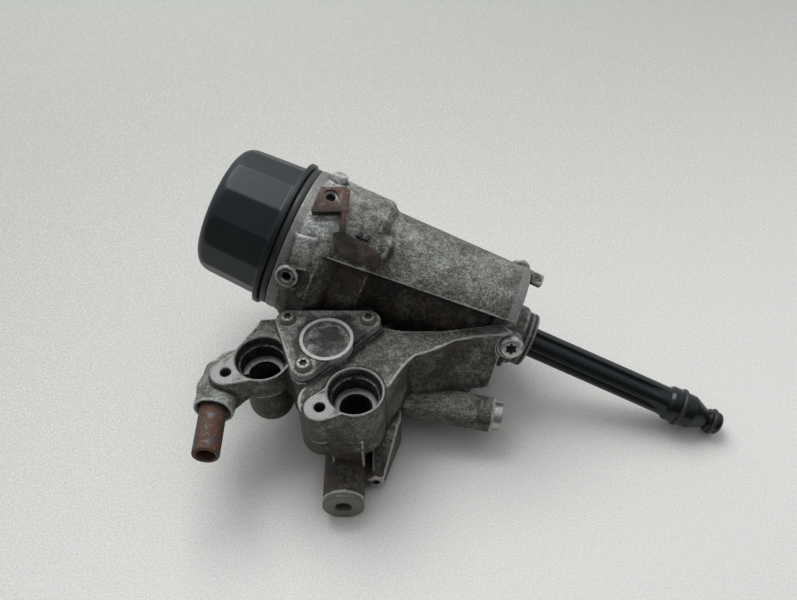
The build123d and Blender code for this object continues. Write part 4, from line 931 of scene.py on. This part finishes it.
@dataclass
class CastBody:
    """The die-cast body, remeshed so that its corners flow as castings do."""

    voxel: float = 0.62 * MM
    quick_voxel: float = 1.2 * MM
    face_budget: int = 186000
    rounds: int = 9
    wear_height: float = 0.062 * MM
    hollow_depth: float = 2.2 * MM
    hollow_rounds: int = 60
    deck: float = 64.5 * MM
    rim_radius: float = 15.0 * MM
    port_radius: float = 14.4 * MM
    port_reach: float = 22.0 * MM
    port_depth: float = 60.0 * MM
    ledge_depth: float = 14.0 * MM
    ear_radius: float = 7.9 * MM
    mouth_radius: float = 41.0 * MM
    mouth_run: Tuple[float, float] = (4.2 * MM, 9.95 * MM)
    inner_run: Tuple[float, float] = (3.6 * MM, 50.0 * MM)
    inner_radius: float = 37.6 * MM
    barrel_radius: float = 29.4 * MM
    barrel_start: float = 31.0 * MM
    lobe_run: Tuple[float, float] = (125.0 * MM, 130.9 * MM)
    lobe_radius: float = 28.0 * MM
    spout_run: Tuple[float, float] = (140.0 * MM, 147.5 * MM)
    spout_radius: float = 16.0 * MM
    bowl_radius: float = 34.0 * MM
    bowl_run: Tuple[float, float] = (5.0 * MM, 135.0 * MM)
    recess_radii: Tuple[float, float] = (20.0 * MM, 34.6 * MM)
    recess_run: Tuple[float, float] = (24.0 * MM, 118.0 * MM)
    tones: CastTones = CastTones()

    def build(self, finish: Look) -> None:
        """Build the body and dress it."""
        piece = merged_copy("main_casting", "cast_body")
        remesh = piece.modifiers.new("skin", "REMESH")
        remesh.mode = "VOXEL"
        remesh.voxel_size = self.voxel
        remesh.adaptivity = 0.0
        apply_modifiers(piece)
        self.smooth(piece)
        self.fields(piece)
        triangles = 2 * len(piece.data.polygons)
        if triangles > self.face_budget:
            thin = piece.modifiers.new("thin", "DECIMATE")
            thin.ratio = self.face_budget / triangles
            apply_modifiers(piece)
        dress(piece, finish, Body.HOUSING, "cast_aluminium", "main_casting")

    def skimmed(self, name: str, points: np.ndarray, radius: float, soft: float, over: float) -> np.ndarray:
        """Share of a disc on the deck round a mount.

        Args:
            name: Mount in the middle of the disc.
            points: World points.
            radius: Radius of the disc.
            soft: How far inside it the share starts to fall.
            over: How far outside it the share ends.

        Returns:
            Share at each point.
        """
        place = mount_place(name)
        height, _, reach = place.polar(points)
        top = self.deck - place.origin[2]
        return smoothstep(top - 0.5 * MM, top - 0.2 * MM, height) * fall(radius - soft, radius + over, reach)

    def crispness(self, points: np.ndarray) -> np.ndarray:
        """Share of machined finish at each point, 0 on the cast skin."""
        share = np.zeros(len(points))
        for name in PORTS:
            place = mount_place(name)
            height, _, radius = place.polar(points)
            bore = between(-self.port_reach, self.deck - place.origin[2] + MM, height)
            rim = self.skimmed(name, points, self.rim_radius, 0.3 * MM, 0.1 * MM)
            share = np.maximum.reduce([share, rim, (bore & (radius < self.port_radius)) * 1.0])
        for name in EARS:
            share = np.maximum(share, self.skimmed(name, points, self.ear_radius, 0.2 * MM, 0.3 * MM))
        station, angle, radius = BOWL.polar(points)
        mouth = between(*self.mouth_run, station) & (radius < self.mouth_radius)
        widening = self.barrel_radius + np.maximum(0, self.barrel_start - station)
        inner = between(*self.inner_run, station) & (radius < self.inner_radius) & (radius < widening)
        spout = between(*self.spout_run, station) & (radius < self.spout_radius)
        lobe = between(*self.lobe_run, station) & (radius > self.lobe_radius) & (np.abs(angle + 45) < 88)
        share = np.maximum(share, (mouth | inner | spout) * 1.0)
        share = np.maximum(share, lobe * 0.75)
        return np.maximum(share, (points[:, 2] < 0.25 * MM) * 1.0)

    def smooth(self, piece: Piece) -> None:
        """Round the cast skin and leave machined faces as they are."""
        skin = Skin.of(piece.data)
        loose = 0.5 * (1 - 0.85 * self.crispness(skin.points))
        rounds = self.rounds
        moved = skin.spread(skin.points, rounds, loose)
        piece.data.vertices.foreach_set("co", moved.astype(np.float32).ravel())
        piece.data.update()

    def port_walls(self, skin: Skin) -> Tuple[np.ndarray, np.ndarray]:
        """Where the walls of the ports lie, and the bright ledges in them."""
        walls = np.zeros(len(skin.points), bool)
        ledges = np.zeros(len(skin.points), bool)
        for name in PORTS:
            place = mount_place(name)
            height, _, reach = place.polar(skin.points)
            depth = self.deck - place.origin[2] - height
            wall = (reach < self.port_radius + 0.2 * MM) & between(0.6 * MM, self.port_depth, depth)
            walls |= wall
            ledges |= wall & (np.abs(depth - self.ledge_depth) < 0.8 * MM) & (skin.normals[:, 2] > 0.5)
        return walls, ledges

    def painted_light_and_shade(self, skin: Skin) -> np.ndarray:
        """Painted light on the bowl's top and on upward faces of the arm, ledge and wing, and a lighter neck band,
        less painted shade under the bowl.
        """
        x, _, z = skin.points.T
        upward = skin.normals[:, 2]
        station, angle, radius = BOWL.polar(skin.points)
        on_bowl = (radius > self.bowl_radius) & between(*self.bowl_run, station)
        # Painted light on the bowl's top.
        crown = on_bowl * fall(-8.0, 31.0, angle) * self.tones.crown
        neck = on_bowl * fall(20 * MM, 30 * MM, station) * fall(40.0, 62.0, angle) * self.tones.neck
        # Painted light on upward faces of the arm, ledge and wing.
        arm = fall(-0.062, -0.052, x) * smoothstep(-0.2, 0.5, upward) * self.tones.arm
        ledge = between(0.05, 0.07, z) * smoothstep(0.5, 0.8, upward) * self.tones.ledge
        wing = smoothstep(0.0, 0.02, x) * smoothstep(0.35, 0.75, upward) * (z < 0.068) * self.tones.wing
        # Painted shade under the bowl.
        under = on_bowl * smoothstep(45.0, 65.0, angle) * self.tones.under
        return np.maximum.reduce([crown, neck, arm, ledge, wing]) - under

    def recess(self, skin: Skin) -> np.ndarray:
        """Hollow between the bowl and the deck, darkened with painted shade and oily grime."""
        station, angle, radius = BOWL.polar(skin.points)
        spoke = skin.points - BOWL.origin - station[:, None] * BOWL.axis
        facing = np.einsum("ij,ij->i", spoke, skin.normals) / np.maximum(radius, MM)
        inside = between(*self.recess_radii, radius) & between(*self.recess_run, station) & (angle > 22)
        return inside & (facing > 0.4) & (skin.points[:, 2] > 0.05)

    def fields(self, piece: Piece) -> None:
        """Store wear, machined faces, tone with its painted light and shade, and stains."""
        skin = write_wear(piece, self.wear_height, self.hollow_depth, self.hollow_rounds)
        tones = self.tones
        walls, ledges = self.port_walls(skin)
        shine = np.where(walls, ledges * 1.0, self.crispness(skin.points))
        write_field(piece.data, "machined", skin.spread(shine, 1))
        _, y, z = skin.points.T
        recess = self.recess(skin)
        front = fall(-0.066, -0.05, y) * fall(0.02, 0.06, z)
        low = front * (tones.front + tones.foot * fall(0.02, 0.034, z))
        # Tone with painted light and painted shade, and lower at the front towards the bottom.
        tone = tones.plain + self.painted_light_and_shade(skin) - tones.recess * recess - low
        # The port bores get painted shade, together with oil.
        write_field(piece.data, "tone", skin.spread(np.where(walls, tones.oil, tone), 6))
        stain = front * tones.front_stain + recess * tones.recess_stain + tones.stain
        write_field(piece.data, "stain", skin.spread(stain, 10))


@dataclass
class Cap:
    """Screw cap with flats that fade into a rounded crown."""

    flats: int = 14
    half_width: float = 37.0 * MM
    draft: float = 3.0
    seat: float = -1.5 * MM
    height: float = 40.6 * MM
    shoulder: float = 28.0 * MM
    crown_radius: float = 27.0 * MM
    crown_rise: float = 1.6 * MM
    flange_radius: float = 41.4 * MM
    flange_half: float = 1.5 * MM
    skirt_radius: float = 36.9 * MM
    skirt_end: float = 20.5 * MM
    wall: float = 3.0 * MM
    segments: int = 336
    sharp: float = 0.28 * MM
    power: float = 700.0

    def wall_radius(self, angle: np.ndarray, height: np.ndarray) -> np.ndarray:
        """Radius of the flats: half width over the largest cosine, softened.

        Args:
            angle: Angle round the axis.
            height: Station, negative towards the crown.

        Returns:
            Radius at each point.
        """
        reach = self.half_width + height * math.tan(math.radians(self.draft))
        centres = (np.arange(self.flats) + 0.5) * 2 * math.pi / self.flats
        cosines = np.maximum(np.cos(angle[..., None] - centres), 0.05)
        largest = np.power(np.sum(np.power(cosines, self.power), axis=-1), 1 / self.power)
        return reach / largest

    def shape(self, angle: np.ndarray, radius: np.ndarray, height: np.ndarray) -> np.ndarray:
        """Outer wall: the smaller of the flats and the turned crown."""
        outer = radius > 0.5 * MARK
        plain = np.where(outer, radius - MARK, radius)
        walls = self.wall_radius(angle, height)
        sharp = self.sharp
        smaller = -sharp * np.logaddexp(-plain / sharp, -walls / sharp)
        smaller = np.where(walls - plain > 6 * sharp, plain, smaller)
        return np.where(outer, smaller, radius)

    def profile(self) -> np.ndarray:
        """Outline from the crown pole round the flange to the inner pole."""
        bend = np.linspace(0, math.pi / 2, 16)
        top = -self.height + self.crown_rise
        wide = self.half_width + 0.1 * MM - self.crown_radius
        tall = self.height - self.crown_rise - self.shoulder
        dome = np.linspace(0, 1, 12)[:-1]
        rows = [np.stack([self.crown_radius * dome, -self.height + self.crown_rise * dome**2], axis=1)]
        shoulder = top + tall * (1 - np.cos(bend))
        rows.append(np.stack([self.crown_radius + wide * np.sin(bend), shoulder], axis=1))
        rise = np.linspace(-self.shoulder, -self.flange_half, 14)[1:]
        rows.append(np.stack([np.full(13, self.half_width + 4 * MM), rise], axis=1))
        outer = np.concatenate(rows)
        outer[:, 0] += MARK
        lip = rounded(
            [
                (38.5 * MM, -self.flange_half, 0),
                (self.flange_radius, -self.flange_half, 0.7 * MM),
                (self.flange_radius, self.flange_half, 0.7 * MM),
                (self.skirt_radius, self.flange_half, 0.2 * MM),
                (self.skirt_radius, self.skirt_end, 0.5 * MM),
                (self.half_width - self.wall, self.skirt_end, 0.5 * MM),
                (self.half_width - self.wall, -self.shoulder + 2 * MM, 8 * MM),
                (self.crown_radius - 4 * MM, -self.height + 3.8 * MM, 6 * MM),
                (0.0, -self.height + 3.8 * MM, 0),
            ]
        )
        return np.concatenate([outer, split_runs(lip, 4 * MM)])

    def build(self, plastic: Look, rubber: Look) -> None:
        """Build the cap and its seal."""
        place = Place(BOWL.at(self.seat), BOWL.axis, BOWL.up)
        cap = turned("cap_shell", place, self.profile(), self.segments, self.shape)
        write_wear(cap, 0.2 * MM, 4 * MM, 10)
        dress(cap, plastic, Body.CAP, "cap_plastic", "filter_cap")
        seal = rounded(
            [
                (36.95 * MM, 0.05 * MM, 0),
                (39.6 * MM, 0.05 * MM, 0.8 * MM),
                (39.98 * MM, 2.2 * MM, 1.2 * MM),
                (39.6 * MM, 4.38 * MM, 0.8 * MM),
                (36.95 * MM, 4.38 * MM, 0.5 * MM),
                (36.95 * MM, 0.05 * MM, 0),
            ]
        )
        ring = turned("cap_seal", BOWL, seal, 168)
        dress(ring, rubber, Body.CAP, "black_rubber", "cap_seal_ring")


@dataclass
class Rod:
    """Fluted drain rod with its head, gland, cone, tip and rings."""

    radius: float = 8.5 * MM
    head: Tuple[float, float] = (-18.5 * MM, -13.5 * MM)
    flutes: int = 6
    flute_radius: float = 2.9 * MM
    flute_offset: float = 9.6 * MM
    flute_run: Tuple[float, float] = (-10.5 * MM, 225.5 * MM)
    gland: float = 231.5 * MM
    gland_radius: float = 9.9 * MM
    cone_end: float = 255.5 * MM
    neck_radius: float = 5.0 * MM
    tip_radius: float = 6.4 * MM
    end: float = 264.0 * MM

    def shape(self, angle: np.ndarray, radius: np.ndarray, height: np.ndarray) -> np.ndarray:
        """Shaft cut by round flutes: the nearer side of a circle off the axis."""
        pitch = 2 * math.pi / self.flutes
        turn = (angle - 0.25 * pitch + pitch / 2) % pitch - pitch / 2
        inside = self.flute_radius**2 - (self.flute_offset * np.sin(turn)) ** 2
        cut = self.flute_offset * np.cos(turn) - np.sqrt(np.maximum(inside, 0))
        low, high = self.flute_run
        fade = smoothstep(low, low + 2 * MM, height) * (1 - smoothstep(high - 2.5 * MM, high, height))
        fluted = np.where((inside > 0) & (radius > 8 * MM), np.minimum(radius, cut), radius)
        return radius + (fluted - radius) * fade

    def profile(self) -> np.ndarray:
        """Outline of the rod from its head to its tip."""
        start = self.gland
        corners = [
            (0.0, self.head[0], 0),
            (12.5 * MM, self.head[0], 0.4 * MM),
            (12.5 * MM, self.head[1], 0.4 * MM),
            (self.radius, self.head[1], 0.3 * MM),
            (self.radius, start - 1 * MM, 0.4 * MM),
            (self.gland_radius, start + 1 * MM, 0.5 * MM),
            (self.gland_radius, start + 6 * MM, 0.4 * MM),
            (self.radius - 0.6 * MM, start + 6 * MM, 0.2 * MM),
            (self.radius - 0.6 * MM, start + 9 * MM, 0.2 * MM),
            (self.gland_radius - 0.3 * MM, start + 9 * MM, 0.4 * MM),
            (self.gland_radius - 0.3 * MM, start + 14.5 * MM, 0.7 * MM),
            (self.neck_radius, self.cone_end, 0.4 * MM),
            (self.tip_radius, self.cone_end + 0.4 * MM, 0.4 * MM),
            (self.tip_radius, self.cone_end + 2.2 * MM, 0.3 * MM),
            (self.neck_radius, self.cone_end + 2.2 * MM, 0.1 * MM),
            (self.neck_radius, self.cone_end + 4.8 * MM, 0.1 * MM),
            (self.tip_radius, self.cone_end + 4.8 * MM, 0.3 * MM),
            (self.tip_radius, self.end - 1.4 * MM, 0.6 * MM),
            (self.tip_radius - 1.4 * MM, self.end, 0.5 * MM),
            (0.0, self.end, 0),
        ]
        return split_runs(rounded(corners, 4), 6 * MM)

    def build(self, plastic: Look, rubber: Look) -> None:
        """Build the rod and its two rings."""
        rod = turned("drain_rod_body", BOWL, self.profile(), 216, self.shape)
        crisp(rod, 50)
        write_wear(rod, 0.2 * MM, 3 * MM, 8)
        dress(rod, plastic, Body.INSERT, "rod_plastic", "drain_rod")
        rings = (
            ("gland_ring", self.gland + 7.5 * MM, self.radius - 0.6 * MM, 1.45 * MM, "rod_gland_ring"),
            ("tip_ring", self.cone_end + 3.5 * MM, self.neck_radius, 1.2 * MM, "rod_tip_ring"),
        )
        for name, station, inner, section, node in rings:
            piece = self.ring(name, station, inner, section)
            dress(piece, rubber, Body.INSERT, "black_rubber", node)

    @staticmethod
    def ring(name: str, station: float, inner: float, section: float) -> Piece:
        """Ring of round section: the section circle carried round the axis."""
        turn = np.linspace(0, 2 * math.pi, 17)
        radius = inner + section + section * np.cos(turn)
        profile = np.stack([radius, station + section * np.sin(turn)], axis=1)
        return turned(name, BOWL, profile, 72)


@dataclass(frozen=True)
class Screw:
    """Round-head screw with a six-lobed socket."""

    radius: float
    height: float
    socket: float
    depth: float
    shank: float
    length: float

    def shape(self, angle: np.ndarray, radius: np.ndarray, height: np.ndarray) -> np.ndarray:
        """Marked radii follow a six-lobed wave, others stay."""
        marked = radius > MARK
        plain = np.where(marked, radius - MARK, radius)
        wave = plain * (0.86 + 0.14 * np.cos(6 * angle))
        return np.where(marked & (plain > 0.3 * self.socket), wave, plain)

    def build(self, name: str, place: Place) -> Piece:
        """Screw with the seat of its head at local z = 0."""
        corners = rounded(
            [
                (0.0, -self.length, 0),
                (self.shank, -self.length, 0.4 * MM),
                (self.shank, 0.0, 0.1 * MM),
                (self.radius, 0.0, 0.2 * MM),
                (self.radius, 0.35 * self.height, 0.5 * MM),
                (0.78 * self.radius, 0.93 * self.height, 0.9 * MM),
                (self.socket + 0.5 * MM, self.height, 0.4 * MM),
            ]
        )
        floor = self.height - self.depth
        walls = ((1.0, self.height), (0.97, self.height - 0.2 * MM), (0.94, floor), (0.4, floor))
        hollow = [(MARK + self.socket * share, level) for share, level in walls]
        hollow.append((0.0, self.height - 1.05 * self.depth))
        piece = turned(name, place, np.concatenate([corners, hollow]), 96, self.shape)
        crisp(piece, 50)
        return piece


@dataclass
class ValveCover:
    """Triangular cover, its gasket and its screws."""

    screws: Tuple[Tuple[float, float], ...] = ((-38.4, -10.3), (4.1, -10.6), (-27.9, -41.2))
    seat: float = 68.5 * MM
    screw: Screw = Screw(4.5 * MM, 2.9 * MM, 2.4 * MM, 1.7 * MM, 2.5 * MM, 15.8 * MM)

    def build(self, cover: Look, rubber: Look, steel: Look) -> None:
        """Build the three pieces."""
        plate = softened_copy("valve_cover", "cover_plate", 0.35 * MM)
        skin = write_wear(plate, 0.15 * MM, 1.5 * MM, 10)
        write_field(plate.data, "tone", np.full(len(skin.points), 0.98))
        write_field(plate.data, "stain", np.full(len(skin.points), 0.3))
        crisp(plate, 40)
        dress(plate, cover, Body.HOUSING, "machined_aluminium", "valve_cover")
        gasket = softened_copy("cover_gasket", "cover_seal", 0.15 * MM)
        crisp(gasket, 40)
        dress(gasket, rubber, Body.HOUSING, "gasket", "cover_gasket")
        for index, (x, y) in enumerate(self.screws):
            turn = (math.cos(index), math.sin(index), 0)
            place = Place.of((x * MM, y * MM, self.seat), (0, 0, 1), turn)
            piece = self.screw.build(f"cover_screw_{index + 1}", place)
            write_wear(piece, 0.12 * MM, 0.8 * MM, 8)
            dress(piece, steel, Body.HOUSING, "plated_steel", "cover_screws")


@dataclass
class Fittings:
    """Pipe stub, sleeve, bush, plug, washer, bracket and clip."""

    stub_radius: float = 6.95 * MM
    stub_bore: float = 4.8 * MM
    plug_at: Tuple[float, float, float] = (80.2 * MM, -16.05 * MM, 52.5 * MM)
    plug_station: float = 133 * MM
    plug: Screw = Screw(6.6 * MM, 3.4 * MM, 3.3 * MM, 2.4 * MM, 4.9 * MM, 9.2 * MM)
    sleeve_radius: float = 8.15 * MM
    sleeve_bore: float = 5.5 * MM

    @staticmethod
    def tube(
        name: str, place: Place, radius: float, bore: float, run: Tuple[float, float], soft: float
    ) -> Piece:
        """Plain tube between two heights with softened ends."""
        low, high = run
        corners = rounded(
            [
                (bore, low, 0),
                (radius, low, 0.3 * MM),
                (radius, high, soft),
                (bore, high, soft * 0.6),
                (bore, low, 0),
            ]
        )
        return turned(name, place, split_runs(corners, 2.5 * MM), 96)

    def build(
        self,
        rusty: Look,
        bright: Look,
        plated: Look,
        worn: Look,
        rubber: Look,
    ) -> None:
        """Build every fitting."""
        low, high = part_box("pipe_stub")
        centre = ((low.x + high.x) / 2, high.y, (low.z + high.z) / 2)
        place = Place.of(centre, (0, -1, 0))
        run = (0.0, high.y - low.y)
        stub = self.tube("stub_pipe", place, self.stub_radius, self.stub_bore, run, 1.2 * MM)
        write_wear(stub, 0.2 * MM, 2 * MM, 8)
        dress(stub, rusty, Body.HOUSING, "rusty_steel", "pipe_stub")
        place = mount_place("sleeve_bore")
        half = MOUNTS["sleeve_bore"]["dims"]["length_mm"] / 2 * MM
        run = (-half, half)
        sleeve = self.tube("tube_sleeve", place, self.sleeve_radius, self.sleeve_bore, run, 0.6 * MM)
        write_wear(sleeve, 0.2 * MM, 2 * MM, 8)
        dress(sleeve, bright, Body.HOUSING, "bright_steel", "bolt_sleeve")
        bush = softened_copy("foot_bush", "foot_bushing", 0.3 * MM)
        crisp(bush, 40)
        write_wear(bush, 0.2 * MM, 2 * MM, 8)
        dress(bush, worn, Body.HOUSING, "bright_steel", "foot_bush")
        place = Place.of(self.plug_at, np.asarray(self.plug_at) - BOWL.at(self.plug_station))
        plug = self.plug.build("collar_plug", place)
        skin = write_wear(plug, 0.2 * MM, 1.5 * MM, 6)
        height, _, radius = place.polar(skin.points)
        # Painted shade inside the plug's socket.
        sunk = (radius < self.plug.socket) & between(0, self.plug.height - 0.3 * MM, height)
        write_field(plug.data, "painted_shade", sunk * 1.0)
        dress(plug, plated, Body.HOUSING, "plated_steel", "gallery_plug")
        for node, name, finish, slot in (
            ("plug_washer", "collar_washer", bright, "bright_steel"),
            ("sheet_bracket", "bracket_sheet", rusty, "rusty_steel"),
            ("cable_clip", "clip_body", rubber, "rod_plastic"),
        ):
            piece = softened_copy(node, name, 0.22 * MM)
            crisp(piece, 40)
            skin = write_wear(piece, 0.12 * MM, 1.5 * MM, 6)
            if node == "sheet_bracket":
                # Painted shade on the bracket's flap side, with some dirt.
                _, angle, _ = BOWL.polar(skin.points)
                write_field(piece.data, "painted_shade", smoothstep(2.0, 14.0, angle))
            dress(piece, finish, Body.HOUSING, slot, node)


@dataclass
class Inside:
    """Hidden pieces, which keep their CAD shape and get a finish."""

    finishes: Tuple[Tuple[str, str], ...] = (
        ("filter_pleats", "paper"),
        ("filter_core", "cage"),
        ("element_upper_disc", "cage"),
        ("element_lower_disc", "cage"),
        ("bypass_poppet", "cage"),
        ("valve_piston", "steel"),
        ("valve_stop_ring", "steel"),
        ("spigot_rings", "rubber"),
    )

    def build(self, library: Dict[str, Look]) -> None:
        """Give each node its material."""
        for node, key in self.finishes:
            shown = frame["nodes"][node]
            shown.data.materials.clear()
            shown.data.materials.append(library[key])
            LOG.info("%s keeps its shape", node)
        self.coil("bypass_spring", "bypass_coil", "bypass_open", Body.INSERT, library["steel"])
        self.coil("valve_spring", "valve_coil", "valve_lift", Body.HOUSING, library["steel"])

    @staticmethod
    def coil(node: str, name: str, joint: str, body: Body, steel: Look) -> None:
        """Coil spring copied from its CAD node and dressed on the body that holds its fixed end.

        Args:
            node: CAD node of the spring.
            name: Name of the piece.
            joint: Joint of the valve, which moves towards the fixed end; not used.
            body: Body that holds the fixed end.
            steel: Its material.
        """
        piece = merged_copy(node, name)
        crisp(piece, 50)
        skin = write_wear(piece, 0.2 * MM, 2 * MM, 4)
        dress(piece, steel, body, "spring_steel", node)
        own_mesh(piece)


@dataclass
class Studio:
    """Table, light and the camera of the photograph."""

    camera_at: Tuple[float, float, float] = (0.020, -0.300, 0.4112)
    elevation: float = 48.5
    focal: float = 38.39
    lamp_at: Tuple[float, float, float] = (-0.2, 0.5, 0.95)
    lamp_aim: Tuple[float, float, float] = (0.0, 0.0, 0.03)
    lamp_size: float = 0.7
    lamp_power: float = 7.2
    sky_low: float = 0.1
    sky_high: float = 0.8
    dark_below: float = -0.1
    bright_above: float = 0.8
    sky_seen: float = 0.75
    sky_colour: Colour = (0.97, 1.0, 1.015)
    table_reach: float = 3.0

    def build(self) -> None:
        """Build the stage."""
        scene = bpy.context.scene
        scene.view_settings.view_transform = "Standard"
        reach = self.table_reach
        corners = np.array([[-reach, -reach, 0], [reach, -reach, 0], [reach, reach, 0], [-reach, reach, 0]])
        table = mesh_object("table", corners, np.array([[0, 1, 2, 3]]))
        table.data.materials.append(TableFinish().material())
        world = bpy.data.worlds.new("sky")
        world.use_nodes = True
        net = Net(world.node_tree)
        world.node_tree.nodes.clear()
        path = net.tree.nodes.new("ShaderNodeLightPath")
        where = net.tree.nodes.new("ShaderNodeTexCoord").outputs["Generated"]
        way = net.node("ShaderNodeSeparateXYZ", Vector=where)
        upward = net.math("MULTIPLY", way.outputs["Z"], 0.8)
        back = net.math("ADD", net.math("MULTIPLY", way.outputs["Y"], 0.6), upward)
        glow = net.rise(back, self.dark_below, self.bright_above, self.sky_low, self.sky_high)
        strength = net.blend(path.outputs["Is Camera Ray"], glow, self.sky_seen)
        background = net.node("ShaderNodeBackground", Color=self.sky_colour, Strength=strength)
        output = net.tree.nodes.new("ShaderNodeOutputWorld")
        net.tree.links.new(background.outputs[0], output.inputs["Surface"])
        scene.world = world
        light = bpy.data.lights.new("softbox", "AREA")
        light.shape = "SQUARE"
        light.size = self.lamp_size
        light.energy = self.lamp_power
        lamp = bpy.data.objects.new("softbox", light)
        lamp.location = self.lamp_at
        aim = Vector(self.lamp_aim) - Vector(self.lamp_at)
        lamp.rotation_euler = aim.to_track_quat("-Z", "Y").to_euler()
        scene.collection.objects.link(lamp)
        data = bpy.data.cameras.new("camera")
        data.sensor_width = 36.0
        data.lens = self.focal
        data.clip_start = 0.01
        data.clip_end = 20.0
        camera = bpy.data.objects.new("camera", data)
        camera.location = self.camera_at
        camera.rotation_euler = (math.radians(90 - self.elevation), 0.0, 0.0)
        scene.collection.objects.link(camera)
        scene.camera = camera


def main() -> None:
    """Build every sub-assembly in order."""
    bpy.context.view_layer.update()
    plastic = PlasticFinish("satin black plastic", (0.005, 0.0068, 0.0082), 0.42, 0.05, 0.01).material()
    gloss = PlasticFinish("glossy black plastic", (0.004, 0.0046, 0.0052), 0.16, 0.06, 0.03).material()
    cage = PlasticFinish("cage plastic", (0.05, 0.05, 0.05), 0.45).material()
    rubber = RubberFinish().material()
    rusty = SteelFinish("rusty steel", (0.12, 0.1, 0.095), 0.5, 0.55, 0.6, 0.00012).material()
    bright = SteelFinish("bright steel", (0.5, 0.49, 0.47), 0.3, 0.02).material()
    worn = SteelFinish("worn steel", (0.15, 0.145, 0.13), 0.4, 0.12, 0.5).material()
    plated = SteelFinish("plated steel", (0.62, 0.615, 0.59), 0.3, 0.05).material()
    dirty = SteelFinish("dirty plated steel", (0.23, 0.22, 0.195), 0.5, 0.25, 0.6).material()
    cast = CastFinish().material()
    CastBody().build(cast)
    Cap().build(plastic, rubber)
    Rod().build(gloss, rubber)
    ValveCover().build(cast, rubber, dirty)
    Fittings().build(rusty, bright, plated, worn, rubber)
    Inside().build({"paper": PaperFinish().material(), "cage": cage, "steel": bright, "rubber": rubber})
    Studio().build()
    bpy.context.view_layer.update()


if __name__ == "__main__":
    main()
